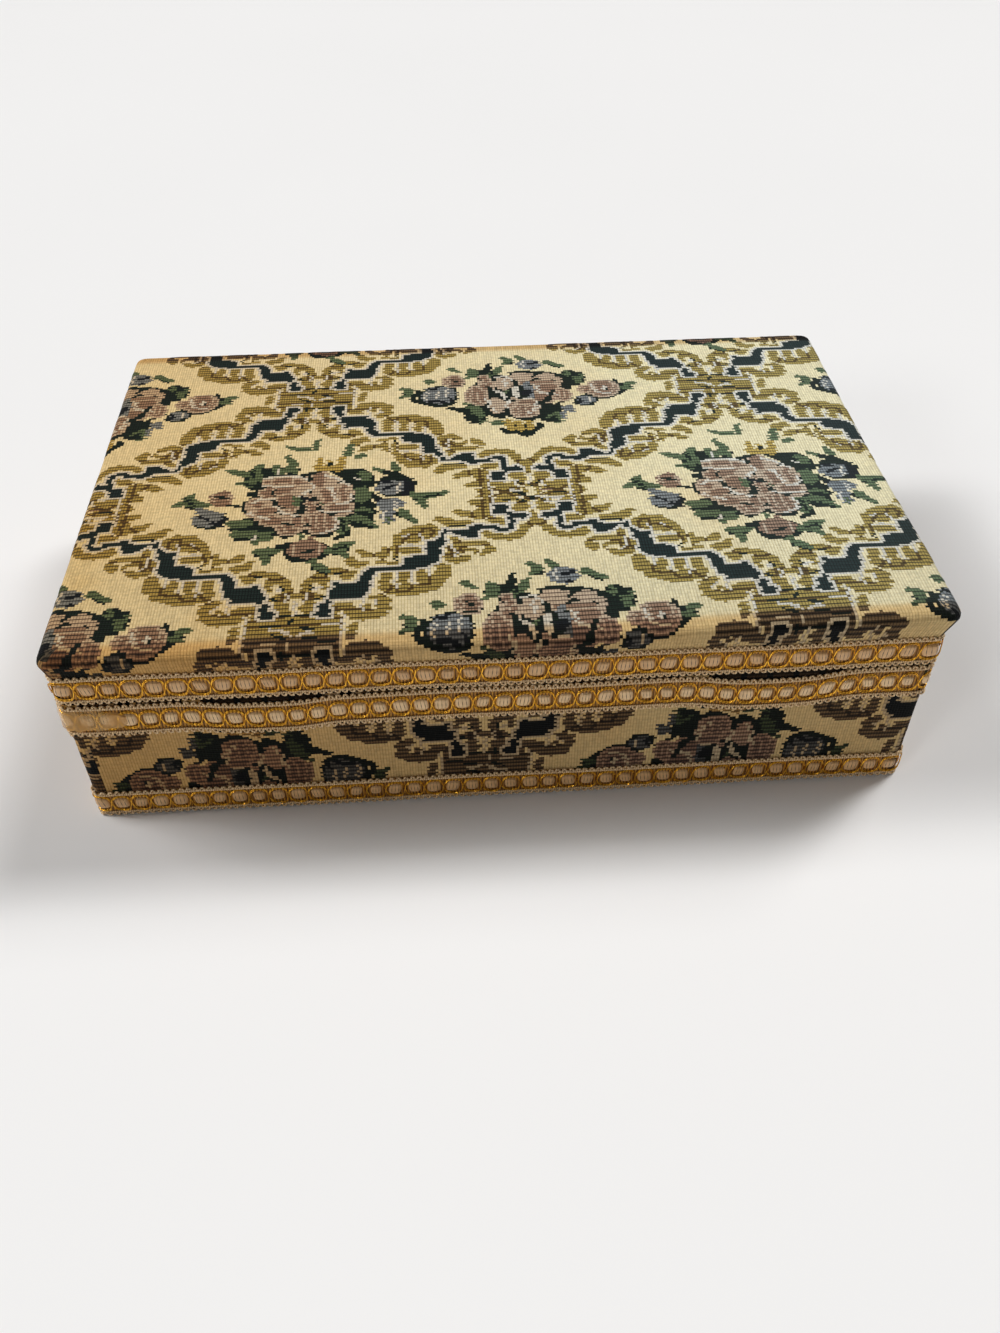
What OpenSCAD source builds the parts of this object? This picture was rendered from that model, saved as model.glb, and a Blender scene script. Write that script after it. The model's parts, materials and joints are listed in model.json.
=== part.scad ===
// A shallow keepsake box with a hinged lid. Boards are covered in floral brocade,
// edged with three lengths of looped metallic braid and lined with satin.
// Origin: centre of the footprint, on the surface the box stands on.
// +X runs to the right, the front faces -Y, and +Z is up.

/* [Box] */
// Width over the braid, left to right
box_w = 232; // [180:1:300]
// Depth over the braid, front to back
box_d = 152; // [120:1:220]
// Height with the lid closed
box_h = 62; // [52:1:90]
// Height of the lower half, where the seam starts
base_h = 44.2; // [36:0.1:60]
// Gap between the lower half and the lid
seam_gap = 0.4; // [0.3:0.1:1]
// Radius of the upright corners, outside the cloth
corner_r = 4; // [3:0.5:8]

/* [Boards] */
// Thickness of the boards under the cloth
board_t = 3; // [2:0.5:5]
// Rise of the padded top from its edge to its middle
crown = 1; // [0.5:0.1:3]
// Width of the sloping border of the padded top
crown_border = 16; // [8:1:30]
// Softness of the lid's upper edge
edge_r = 2.2; // [1:0.1:3]

/* [Cloth] */
// Thickness of the brocade
cloth_t = 0.8; // [0.5:0.1:1.2]
// Depth of the brocade turned in over each rim
turn_in = 6; // [4:0.5:8]
// Width of the brocade turned under the base
turn_under = 12; // [8:1:20]
// Thickness of a satin-covered lining card
card_t = 1.2; // [1:0.1:2]
// How far the lining stops below each rim
lining_drop = 2.5; // [1:0.5:4]
// Thickness of the padded satin panel on the floor and in the lid
pad_t = 4; // [2:0.5:6]
// Thickness of the sheet on the underside
sheet_t = 0.6; // [0.4:0.1:1]

/* [Hinge] */
// Thickness of the outer hinge cloth
hinge_t = 0.6; // [0.4:0.1:1]
// Height of each leaf of the outer hinge cloth
hinge_leaf_h = 13; // [8:1:13]
// Thickness of the inner hinge ribbon
ribbon_t = 0.4; // [0.3:0.1:0.5]

/* [Braid] */
// How far the braid stands out from the brocade
braid_t = 1.5; // [1.2:0.1:2]
// Thickness of the braid between its loops
braid_web_t = 1.1; // [0.8:0.1:1.1]
// Width of the braid on the lid
lid_braid_w = 9.4; // [8:0.1:10]
// Width of the braid under the seam
rim_braid_w = 11.2; // [9:0.1:12]
// Width of the braid round the foot
foot_braid_w = 9.7; // [8:0.1:10]
// Distance from loop to loop on the lid
lid_loop_pitch = 5.7; // [5.5:0.05:7]
// Distance from loop to loop on the base
base_loop_pitch = 5.45; // [5.4:0.05:7]
// Radius of one loop
loop_r = 2.55; // [2:0.05:2.6]

/* [Hidden] */
$fn = 48;

// Outlines seen from above: outside of the cloth, of the boards, and the space in the walls
cloth_w = box_w - 2 * braid_t;
cloth_d = box_d - 2 * braid_t;
shell_w = cloth_w - 2 * cloth_t;
shell_d = cloth_d - 2 * cloth_t;
shell_r = corner_r - cloth_t;
inner_w = shell_w - 2 * board_t;
inner_d = shell_d - 2 * board_t;
// The lining's visible face stands in from the walls by the turned-in cloth and the card
lining_off = cloth_t + card_t;
room_w = inner_w - 2 * lining_off;
room_d = inner_d - 2 * lining_off;

// Heights in the base
floor_z = sheet_t + cloth_t;
floor_top = floor_z + board_t;
base_wall_top = base_h - cloth_t;
base_lining_top = base_h - lining_drop;

// Heights in the lid
lid_z = base_h + seam_gap;
lid_wall_z = lid_z + cloth_t;
top_board_top = box_h - cloth_t - crown;
top_board_z = top_board_top - board_t;
lid_lining_z = lid_z + lining_drop;
pad_edge_t = 0.2;

// Heights of the braids
rim_braid_z = base_h - rim_braid_w;
foot_braid_z = 0.3;
lid_braid_z = lid_z + 0.3;

// The hinge turns about the outer face of its cloth, halfway up the seam
hinge_z = base_h + seam_gap / 2;
hinge_clear = 0.15;
hinge_w = cloth_w - 2 * corner_r;
ribbon_w = room_w - 4;

cut = 1;

cream = [0.85, 0.77, 0.57];
gold = [0.76, 0.58, 0.22];
ivory = [0.90, 0.84, 0.72];
grey_board = [0.62, 0.58, 0.52];

// Flat outline with round corners
module outline(w, d, r) {
    square([w - 2 * r, d], center = true);
    square([w, d - 2 * r], center = true);
    for (sx = [-1, 1], sy = [-1, 1])
        translate([sx * (w / 2 - r), sy * (d / 2 - r)])
            circle(r);
}

// Upright block with round corners, from z upwards
module block(w, d, r, z, h) {
    translate([0, 0, z])
        linear_extrude(h)
            outline(w, d, r);
}

// Upright block with sharp corners, from z upwards
module room(w, d, z, h) {
    translate([0, 0, z])
        linear_extrude(h)
            square([w, d], center = true);
}

// Part of the board outline between two heights that one wall takes up
module wall(x, y, w, d, z, h) {
    intersection() {
        block(shell_w, shell_d, shell_r, z, h);
        translate([x, y, z + h / 2])
            cube([w, d, h], center = true);
    }
}

module front_wall(z, h) {
    wall(0, -(shell_d - board_t) / 2, shell_w, board_t, z, h);
}

module back_wall(z, h) {
    wall(0, (shell_d - board_t) / 2, shell_w, board_t, z, h);
}

module side_wall(side, z, h) {
    wall(side * (shell_w - board_t) / 2, 0, board_t, inner_d, z, h);
}

// Ring of turned-in cloth on the inside of the walls
module turned_in_ring(z, h) {
    difference() {
        room(inner_w, inner_d, z, h);
        room(inner_w - 2 * cloth_t, inner_d - 2 * cloth_t, z - cut, h + 2 * cut);
    }
}

// Cloth laid over the edge of the walls, between the outer shell and the turned-in ring
module rim_cloth(z) {
    difference() {
        block(cloth_w, cloth_d, corner_r, z, cloth_t);
        room(inner_w - 2 * cloth_t, inner_d - 2 * cloth_t, z - cut, cloth_t + 2 * cut);
    }
}

// Upright lining card of the given length, standing on its lower edge at the origin with its
// visible face at y = lining_off and its back at y = 0. Past step_z it is thinner by thin.
module lining_card(len, h, step_z, thin) {
    rotate([90, 0, 90])
        translate([0, 0, -len / 2])
            linear_extrude(len)
                polygon([[0, 0], [lining_off, 0], [lining_off, h], [thin, h], [thin, step_z], [0, step_z]]);
}

// One of the base's four lining cards, turned to the wall it stands against
module base_lining(turn, wall_dist, len, thin) {
    rotate(turn)
        translate([0, -wall_dist, floor_top])
            lining_card(len, base_lining_top - floor_top, base_h - turn_in - floor_top, thin);
}

// One of the lid's four lining cards: the same form, upside down
module lid_lining(turn, wall_dist, len, thin) {
    rotate(turn)
        translate([0, -wall_dist, top_board_z])
            mirror([0, 0, 1])
                lining_card(len, top_board_z - lid_lining_z, top_board_z - lid_z - turn_in, thin);
}

// Satin-covered panel with its border sloping down to a thin edge
module soft_panel(w, d, t) {
    hull() {
        linear_extrude(t - 1.2)
            square([w, d], center = true);
        linear_extrude(t - 0.4)
            square([w - 2, d - 2], center = true);
        linear_extrude(t)
            square([w - 16, d - 16], center = true);
    }
}

// Wadding over the lid's board: nearly nothing at its edge and full height in the middle
module wadding() {
    translate([0, 0, top_board_top])
        hull() {
            linear_extrude(pad_edge_t)
                outline(shell_w, shell_d, shell_r, $fn = 32);
            linear_extrude(crown)
                outline(shell_w - 2 * crown_border, shell_d - 2 * crown_border, shell_r, $fn = 32);
        }
}

// Outside of the lid: upright sides, a soft upper edge and the crowned top
module lid_outside() {
    edge_z = top_board_top + pad_edge_t + cloth_t;
    hull() {
        block(cloth_w, cloth_d, corner_r, lid_z, edge_z - edge_r - lid_z, $fn = 32);
        for (a = [30, 60, 90]) {
            inset = edge_r * (1 - cos(a));
            block(cloth_w - 2 * inset, cloth_d - 2 * inset, corner_r - inset, lid_z,
                edge_z - edge_r + edge_r * sin(a) - lid_z, $fn = 32);
        }
        block(shell_w - 2 * crown_border, shell_d - 2 * crown_border, shell_r, lid_z,
            box_h - lid_z, $fn = 32);
    }
}

// One row of braid loops along a straight side of the given length, centred on the origin,
// standing out towards -Y
module loop_row(len, pitch) {
    count = floor(len / pitch);
    for (i = [0 : count - 1])
        translate([(i - (count - 1) / 2) * pitch, 0, 0])
            rotate([90, 0, 0])
                cylinder(r = loop_r, h = braid_t, $fn = 24);
}

// Braid laid round the outside of the cloth. Unless it is closed it stops before the back corners.
module braid(z, w, pitch, closed) {
    side_len = cloth_d - 2 * corner_r;
    front_len = cloth_w - 2 * corner_r;
    difference() {
        block(cloth_w + 2 * braid_web_t, cloth_d + 2 * braid_web_t, corner_r + braid_web_t, z, w);
        block(cloth_w, cloth_d, corner_r, z - cut, w + 2 * cut);
        if (!closed)
            translate([0, cloth_d / 2, z + w / 2])
                cube([box_w + 2, 2 * corner_r, w + 2 * cut], center = true);
    }
    translate([0, -cloth_d / 2, z + w / 2])
        loop_row(front_len, pitch);
    for (side = [-1, 1])
        translate([side * cloth_w / 2, 0, z + w / 2])
            rotate(side * 90)
                loop_row(side_len, pitch);
    if (closed)
        translate([0, cloth_d / 2, z + w / 2])
            rotate(180)
                loop_row(front_len, pitch);
}

module base_floor_board() {
    color(grey_board)
        block(shell_w, shell_d, shell_r, floor_z, board_t);
}

module base_front_wall() {
    color(grey_board)
        front_wall(floor_top, base_wall_top - floor_top);
}

module base_back_wall() {
    color(grey_board)
        back_wall(floor_top, base_wall_top - floor_top);
}

module base_left_wall() {
    color(grey_board)
        side_wall(-1, floor_top, base_wall_top - floor_top);
}

module base_right_wall() {
    color(grey_board)
        side_wall(1, floor_top, base_wall_top - floor_top);
}

// Brocade round the outside, over the rim into the box, and turned under the floor
module base_cover() {
    color(cream) {
        difference() {
            block(cloth_w, cloth_d, corner_r, sheet_t, base_wall_top - sheet_t);
            block(shell_w, shell_d, shell_r, floor_z, base_h);
            room(shell_w - 2 * turn_under, shell_d - 2 * turn_under, -cut, floor_z + 2 * cut);
        }
        rim_cloth(base_wall_top);
        turned_in_ring(base_h - turn_in, turn_in);
    }
}

// Sheet glued over the turned-under cloth and pressed up against the board inside it
module base_underside_sheet() {
    color([0.30, 0.22, 0.18]) {
        block(cloth_w - 4, cloth_d - 4, corner_r - 2, 0, sheet_t);
        room(shell_w - 2 * turn_under, shell_d - 2 * turn_under, 0, floor_z);
    }
}

module base_rim_braid() {
    color(gold)
        braid(rim_braid_z, rim_braid_w, base_loop_pitch, false);
}

module base_foot_braid() {
    color(gold)
        braid(foot_braid_z, foot_braid_w, base_loop_pitch, true);
}

module base_front_lining() {
    color(ivory)
        base_lining(0, inner_d / 2, inner_w - 2 * cloth_t, cloth_t);
}

module base_back_lining() {
    color(ivory)
        base_lining(180, inner_d / 2, inner_w - 2 * cloth_t, cloth_t + ribbon_t);
}

module base_left_lining() {
    color(ivory)
        base_lining(-90, inner_w / 2, room_d, cloth_t);
}

module base_right_lining() {
    color(ivory)
        base_lining(90, inner_w / 2, room_d, cloth_t);
}

module base_floor_pad() {
    color(ivory)
        translate([0, 0, floor_top])
            soft_panel(room_w, room_d, pad_t);
}

// Lower leaf of the brocade strip glued across the back of the seam
module hinge_cloth_lower() {
    color(cream)
        translate([-hinge_w / 2, cloth_d / 2, hinge_z - hinge_leaf_h])
            cube([hinge_w, hinge_t, hinge_leaf_h - hinge_clear]);
}

// Lower leaf of the satin ribbon glued across the inside of the seam
module hinge_ribbon_lower() {
    color(ivory)
        translate([-ribbon_w / 2, inner_d / 2 - cloth_t - ribbon_t, base_h - turn_in])
            cube([ribbon_w, ribbon_t, turn_in]);
}

module lid_top_board() {
    color(grey_board)
        block(shell_w, shell_d, shell_r, top_board_z, board_t);
}

module lid_front_wall() {
    color(grey_board)
        front_wall(lid_wall_z, top_board_z - lid_wall_z);
}

module lid_back_wall() {
    color(grey_board)
        back_wall(lid_wall_z, top_board_z - lid_wall_z);
}

module lid_left_wall() {
    color(grey_board)
        side_wall(-1, lid_wall_z, top_board_z - lid_wall_z);
}

module lid_right_wall() {
    color(grey_board)
        side_wall(1, lid_wall_z, top_board_z - lid_wall_z);
}

module lid_padding() {
    color([0.95, 0.94, 0.90])
        wadding();
}

// Brocade over the padded top, down the four sides and turned in under the lid's edge
module lid_cover() {
    color(cream) {
        difference() {
            lid_outside();
            block(shell_w, shell_d, shell_r, lid_z - cut, top_board_top - lid_z + cut);
            wadding();
        }
        rim_cloth(lid_z);
        turned_in_ring(lid_z, turn_in);
    }
}

module lid_braid() {
    color(gold)
        braid(lid_braid_z, lid_braid_w, lid_loop_pitch, false);
}

module lid_front_lining() {
    color(ivory)
        lid_lining(0, inner_d / 2, inner_w - 2 * cloth_t, cloth_t);
}

module lid_back_lining() {
    color(ivory)
        lid_lining(180, inner_d / 2, inner_w - 2 * cloth_t, cloth_t + ribbon_t);
}

module lid_left_lining() {
    color(ivory)
        lid_lining(-90, inner_w / 2, room_d, cloth_t);
}

module lid_right_lining() {
    color(ivory)
        lid_lining(90, inner_w / 2, room_d, cloth_t);
}

module lid_ceiling_pad() {
    color(ivory)
        translate([0, 0, top_board_z])
            mirror([0, 0, 1])
                soft_panel(room_w, room_d, pad_t);
}

// Upper leaf of the brocade strip glued across the back of the seam
module hinge_cloth_upper() {
    color(cream)
        translate([-hinge_w / 2, cloth_d / 2, hinge_z + hinge_clear])
            cube([hinge_w, hinge_t, hinge_leaf_h - hinge_clear]);
}

// Upper leaf of the satin ribbon glued across the inside of the seam
module hinge_ribbon_upper() {
    color(ivory)
        translate([-ribbon_w / 2, inner_d / 2 - cloth_t - ribbon_t, lid_z])
            cube([ribbon_w, ribbon_t, turn_in]);
}

base_floor_board();
base_front_wall();
base_back_wall();
base_left_wall();
base_right_wall();
base_cover();
base_underside_sheet();
base_rim_braid();
base_foot_braid();
base_front_lining();
base_back_lining();
base_left_lining();
base_right_lining();
base_floor_pad();
hinge_cloth_lower();
hinge_ribbon_lower();
lid_top_board();
lid_front_wall();
lid_back_wall();
lid_left_wall();
lid_right_wall();
lid_padding();
lid_cover();
lid_braid();
lid_front_lining();
lid_back_lining();
lid_left_lining();
lid_right_lining();
lid_ceiling_pad();
hinge_cloth_upper();
hinge_ribbon_upper();
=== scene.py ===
"""Looks of a shallow keepsake box covered in floral brocade.

The brocade is a mesh with one face per stitch. Each face carries the yarn that a chart of brush strokes
gives it, and the material draws the threads. The braid is made thread by thread along the box's outline.
Lengths in this file are in millimetres until a mesh is made.
"""

import json
import math

import bpy
import numpy as np
from mathutils import Matrix, Vector


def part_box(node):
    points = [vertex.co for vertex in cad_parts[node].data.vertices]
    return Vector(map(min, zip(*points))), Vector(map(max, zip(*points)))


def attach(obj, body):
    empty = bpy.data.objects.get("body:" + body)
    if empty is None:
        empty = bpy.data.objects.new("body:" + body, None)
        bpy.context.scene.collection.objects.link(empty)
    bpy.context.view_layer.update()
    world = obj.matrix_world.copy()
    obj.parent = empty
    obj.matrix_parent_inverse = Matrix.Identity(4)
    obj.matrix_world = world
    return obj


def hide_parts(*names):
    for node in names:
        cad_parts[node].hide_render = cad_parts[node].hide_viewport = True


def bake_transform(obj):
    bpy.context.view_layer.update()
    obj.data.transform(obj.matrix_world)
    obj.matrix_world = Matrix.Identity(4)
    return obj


MM = 0.001
SEED = 7

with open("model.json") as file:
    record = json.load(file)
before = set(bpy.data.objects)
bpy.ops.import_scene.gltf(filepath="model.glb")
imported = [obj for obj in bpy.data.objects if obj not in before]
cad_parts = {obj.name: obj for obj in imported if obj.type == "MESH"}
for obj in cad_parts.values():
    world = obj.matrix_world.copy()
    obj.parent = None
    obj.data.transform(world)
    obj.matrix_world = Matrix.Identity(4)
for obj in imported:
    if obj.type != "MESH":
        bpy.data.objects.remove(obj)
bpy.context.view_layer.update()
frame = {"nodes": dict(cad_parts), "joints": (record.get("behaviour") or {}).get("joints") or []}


# Reading the frame


def node_box(node):
    """A CAD node's lowest and highest corners at rest, in millimetres."""
    low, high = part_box(node)
    return np.array(low) / MM, np.array(high) / MM


lid_low, lid_high = node_box("lid_cover")
base_low, base_high = node_box("base_cover")
hinge = frame["joints"][0]
HINGE_Z = hinge["pos_m"][2] / MM
CORNER_R = 4.0
CLOTH_T = 0.8
WALL_T = 4.6
TURN_IN = 6.0
EDGE_R = 2.2
# The lid's upper edge stands out over its side by this much
FLARE = 1.45
BRAID_TOP = 54.3
HALF_W = (lid_high[0] - lid_low[0]) / 2
HALF_D = (lid_high[1] - lid_low[1]) / 2
FLAT_W = HALF_W - CORNER_R
FLAT_D = HALF_D - CORNER_R

# Stitches. The chart repeats after this many of them across and along the cloth.
COLUMNS, ROWS = 166, 150
TOP_COLUMNS = 283
TOP_ROWS = 189
CORNER_COLUMNS = 8
STITCH_W = 2 * FLAT_W / TOP_COLUMNS
STITCH_D = 2 * FLAT_D / TOP_ROWS
REPEAT_W = COLUMNS * STITCH_W
REPEAT_D = ROWS * STITCH_D

# One crossing of the trellis on the lid, in stitches from the left and from the back of its flat top, and one
# on the base's front, whose cloth is upside down, in millimetres from the middle and from the floor
LID_CROSSING = (74, 38)
BASE_CROSSING = (-5.2, 11.6)

# Yarns of the brocade, in the order of their numbers in the chart
YARNS = (
    "cream", "gold", "pale", "ribbon", "rose", "pink", "green", "dark_green", "blue", "navy", "yellow", "brown",
)
YARN = {name: number for number, name in enumerate(YARNS)}
YARN_STEPS = 16

# How far each row of a figure is shifted at random, in millimetres, as woven edges are ragged
RAGGED = 0.9


# The chart of the brocade


def wrapped(values, period):
    """Values folded into one period centred on zero."""
    return (values + period / 2) % period - period / 2


def blank_chart():
    """The empty chart, and the place of each stitch's middle, right and down from a crossing."""
    right = (np.arange(COLUMNS) + 0.5) * STITCH_W
    down = (np.arange(ROWS) + 0.5) * STITCH_D
    ragged = np.random.default_rng(SEED).choice([-0.5, 0.0, 0.5], ROWS) * RAGGED
    right, down = np.meshgrid(right, down)
    return np.zeros((ROWS, COLUMNS), int), right + ragged[:, None], down


def under_stroke(x, y, stroke):
    """Which stitches lie under a brush stroke: points of (x, y, radius) joined by tapering lines."""
    hit = np.zeros(x.shape, bool)
    for (ax, ay, ar), (bx, by, br) in zip(stroke, stroke[1:]):
        dx, dy = bx - ax, by - ay
        along = np.clip(((x - ax) * dx + (y - ay) * dy) / (dx * dx + dy * dy), 0, 1)
        radius = ar + (br - ar) * along
        hit |= (x - ax - along * dx) ** 2 + (y - ay - along * dy) ** 2 < radius**2
    return hit


def under_oval(x, y, oval, margin=0.0):
    """Which stitches lie in an oval of (x, y, half width, half height)."""
    px, py, rx, ry = oval
    return ((x - px) / (rx + margin)) ** 2 + ((y - py) / (ry + margin)) ** 2 < 1


def under_polygon(x, y, corners):
    hit = np.zeros(x.shape, bool)
    for (ax, ay), (bx, by) in zip(corners, corners[1:] + corners[:1]):
        crosses = (ay > y) != (by > y)
        hit ^= crosses & (x < ax + (y - ay) * (bx - ax) / ((by - ay) or 1.0))
    return hit


def grown(mask):
    """A mask one stitch larger on every side."""
    for shift in (-1, 1):
        mask = mask | np.roll(mask, shift, axis=0)
    for shift in (-1, 1):
        mask = mask | np.roll(mask, shift, axis=1)
    return mask


def paint(chart, x, y, yarn, shapes, edge=None):
    """Draws strokes (lists) and ovals (tuples) in a yarn, each with an edge one stitch wide if that is named."""
    for shape in shapes:
        mask = under_stroke(x, y, shape) if isinstance(shape, list) else under_oval(x, y, shape)
        if edge is not None:
            chart[grown(mask)] = YARN[edge]
        chart[mask] = YARN[yarn]


# One quarter of the trellis: right and down from a crossing at (0, 0) to a medallion at (64.8, 56).
# Every stroke is a list of (right, down, radius).

SCROLLS = (
    # Small C-scroll beside the crossing
    [(11.2, 8.9, 1.5), (14.0, 8.4, 1.8), (15.8, 7.2, 1.2)],
    [(13.0, 6.6, 1.1), (15.4, 5.5, 1.8), (18.4, 5.3, 1.9), (21.2, 5.9, 1.9), (23.0, 7.8, 1.8), (23.1, 10.4, 1.6),
     (21.4, 11.9, 1.4), (19.9, 11.9, 1.0)],
    [(18.2, 8.2, 0.8), (19.2, 9.0, 0.8)],
    # Large C-scroll with three lobes
    [(22.6, 16.5, 1.4), (24.0, 14.6, 1.8), (28.0, 13.9, 1.9), (32.0, 14.6, 2.2), (35.6, 16.4, 2.4), (38.0, 19.6, 2.3),
     (38.6, 22.6, 1.8), (37.2, 24.2, 1.1)],
    [(22.9, 16.0, 1.6), (23.4, 20.6, 1.6)],
    [(28.0, 15.6, 1.5), (28.2, 20.9, 1.3)],
    [(33.0, 18.0, 1.6), (32.4, 21.6, 1.3)],
    # Hooked scroll with its ball
    [(40.2, 26.2, 1.3), (40.0, 31.0, 0.9)],
    [(40.4, 26.4, 1.5), (42.6, 25.4, 1.4), (45.0, 26.5, 1.3)],
    [(42.3, 29.0, 1.4), (42.4, 33.0, 1.5), (41.6, 35.2, 1.0)],
    [(42.3, 31.4, 1.4), (45.8, 32.5, 1.3), (49.2, 32.6, 0.9), (51.0, 32.2, 0.6)],
    [(44.2, 29.9, 0.6), (47.0, 29.4, 0.8), (47.4, 28.4, 0.6)],
    [(49.8, 28.2, 1.2), (50.8, 29.4, 1.7), (52.0, 30.0, 1.0)],
    # Arch over the ribbon's hook, and the bud on the middle line
    [(51.4, 36.3, 1.5), (53.2, 35.0, 1.4), (56.6, 34.6, 1.4), (59.6, 35.5, 1.5), (61.4, 38.0, 1.5), (63.2, 40.6, 1.4)],
    [(64.8, 41.8, 1.9), (64.8, 44.4, 0.9), (64.8, 47.2, 0.6)],
    # Arm that leaves the crossing downwards and curls under the ribbon
    [(2.2, 13.4, 1.2), (5.0, 13.2, 1.4), (6.4, 12.8, 1.0)],
    [(2.2, 13.6, 1.2), (2.4, 18.6, 1.2), (4.4, 20.0, 1.5), (6.4, 20.6, 1.8), (7.4, 18.0, 1.0), (7.4, 16.2, 0.8)],
    [(5.6, 22.2, 1.3), (9.0, 23.2, 1.1), (11.4, 23.2, 1.1), (13.2, 21.6, 1.8)],
    [(12.8, 20.8, 1.6), (14.4, 22.2, 1.2)],
    # Three-lobed leaf and thin tendril beside the first flag
    [(13.5, 28.0, 1.3), (13.9, 26.4, 1.5), (16.1, 25.6, 1.6), (17.6, 26.2, 1.0)],
    [(15.9, 31.2, 1.2), (17.5, 29.6, 1.5), (19.2, 29.2, 0.9)],
    [(20.9, 29.6, 1.2), (22.5, 28.4, 1.2), (22.8, 31.6, 1.0)],
    [(20.9, 26.3, 0.7), (24.6, 25.5, 0.7), (26.2, 25.6, 0.6)],
    # Lower C-scroll
    [(25.4, 28.8, 0.9), (25.4, 32.6, 1.1), (27.2, 36.8, 1.8), (30.8, 39.5, 2.1), (34.8, 40.0, 2.2), (37.0, 38.2, 1.8),
     (36.6, 36.2, 1.1)],
    [(27.9, 30.5, 1.5), (30.8, 30.6, 1.8)],
    [(29.6, 34.5, 1.2), (31.6, 35.9, 1.5)],
    [(34.4, 36.0, 0.8), (34.6, 38.4, 1.0)],
    # Feathered leaves and the trunk beside the medallion
    [(38.0, 44.2, 1.4), (40.4, 42.4, 1.9), (43.4, 41.8, 1.4), (46.6, 42.2, 0.9)],
    [(43.3, 47.3, 1.1), (45.5, 46.2, 1.7), (48.0, 45.4, 1.6)],
    [(49.5, 45.0, 1.9), (50.4, 48.0, 1.6), (50.6, 52.0, 1.3)],
    [(47.3, 51.7, 1.2), (49.4, 51.4, 1.7)],
    [(50.3, 54.7, 1.2), (50.7, 56.0, 1.4)],
    [(52.3, 42.6, 1.2), (54.8, 42.0, 1.8)],
    # Lobes inside the medallion
    [(51.8, 45.0, 0.9), (52.0, 56.0, 0.9)],
    [(54.6, 54.5, 0.9), (58.0, 55.0, 1.0), (61.2, 54.6, 0.8)],
    [(62.9, 51.2, 0.9), (63.5, 53.4, 0.8)],
    [(59.9, 47.8, 1.5), (61.6, 48.4, 2.2), (62.3, 51.0, 1.2)],
    [(54.8, 52.0, 1.3), (57.0, 53.0, 2.0), (59.6, 52.4, 1.1), (60.8, 51.6, 0.8)],
    [(62.6, 54.2, 0.6), (63.2, 56.0, 0.7)],
    # Crossing: the barred middle, four lobes, buds at its sides and ends
    [(0.0, 1.5, 1.5), (11.0, 1.5, 1.5)],
    [(0.0, 4.2, 1.4), (11.0, 4.2, 1.3)],
    [(3.4, 8.6, 2.3), (3.8, 10.0, 2.0)],
    [(8.8, 7.0, 1.2), (10.6, 6.4, 1.0)],
    [(14.8, 0.6, 1.2), (15.0, 2.0, 1.1)],
    [(0.0, 13.5, 1.2), (1.4, 13.5, 1.0)],
)

SCROLL_WEIGHT = 1.04

SLITS = (
    [(16.9, 7.4, 0.4), (17.4, 9.6, 0.45), (17.2, 11.6, 0.4)],
    [(20.2, 10.8, 0.4), (21.2, 9.0, 0.4)],
    [(26.0, 15.4, 0.45), (26.0, 21.8, 0.45)],
    [(30.3, 17.2, 0.45), (30.1, 22.4, 0.45)],
    [(34.9, 20.0, 0.45), (34.6, 23.4, 0.45)],
    [(42.0, 27.4, 0.4), (41.0, 33.0, 0.35)],
    [(26.8, 32.6, 0.4), (29.8, 32.9, 0.4), (33.0, 32.2, 0.4)],
    [(28.4, 36.6, 0.4), (30.0, 38.0, 0.4)],
    [(33.2, 34.6, 0.4), (33.2, 38.0, 0.4)],
    [(53.2, 44.8, 0.45), (53.2, 56.0, 0.45)],
    [(12.3, -1.0, 0.45), (12.3, 6.2, 0.45)],
    [(0.0, 6.4, 0.4), (0.0, 12.0, 0.4)],
    [(2.6, 11.8, 0.4), (2.4, 14.8, 0.4)],
    [(4.8, 16.3, 0.6), (5.6, 16.8, 0.7)],
    [(6.8, 8.8, 0.4), (6.6, 11.2, 0.4)],
    [(64.8, 47.8, 0.45), (64.8, 53.0, 0.4)],
    [(58.4, 50.0, 0.4), (60.6, 50.6, 0.4), (61.0, 53.6, 0.4)],
    [(56.2, 50.4, 0.4), (58.2, 50.8, 0.4)],
)

# Near-black marks among the scrolls
MARKS = (
    [(3.8, 15.8, 0.4), (3.8, 17.4, 0.4)],
    [(40.4, 40.3, 0.4), (48.4, 40.9, 0.45)],
    [(4.6, 12.0, 0.4), (8.0, 13.6, 0.4)],
    [(61.6, 51.0, 0.4), (62.4, 52.0, 0.4)],
    [(64.8, 52.4, 0.5), (64.8, 53.6, 0.4)],
    [(0.8, 6.2, 0.35), (5.6, 6.8, 0.4)],
    [(9.6, 22.0, 0.4), (11.4, 21.8, 0.4)],
    [(26.0, 26.8, 0.4), (26.4, 28.0, 0.4)],
)

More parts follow.
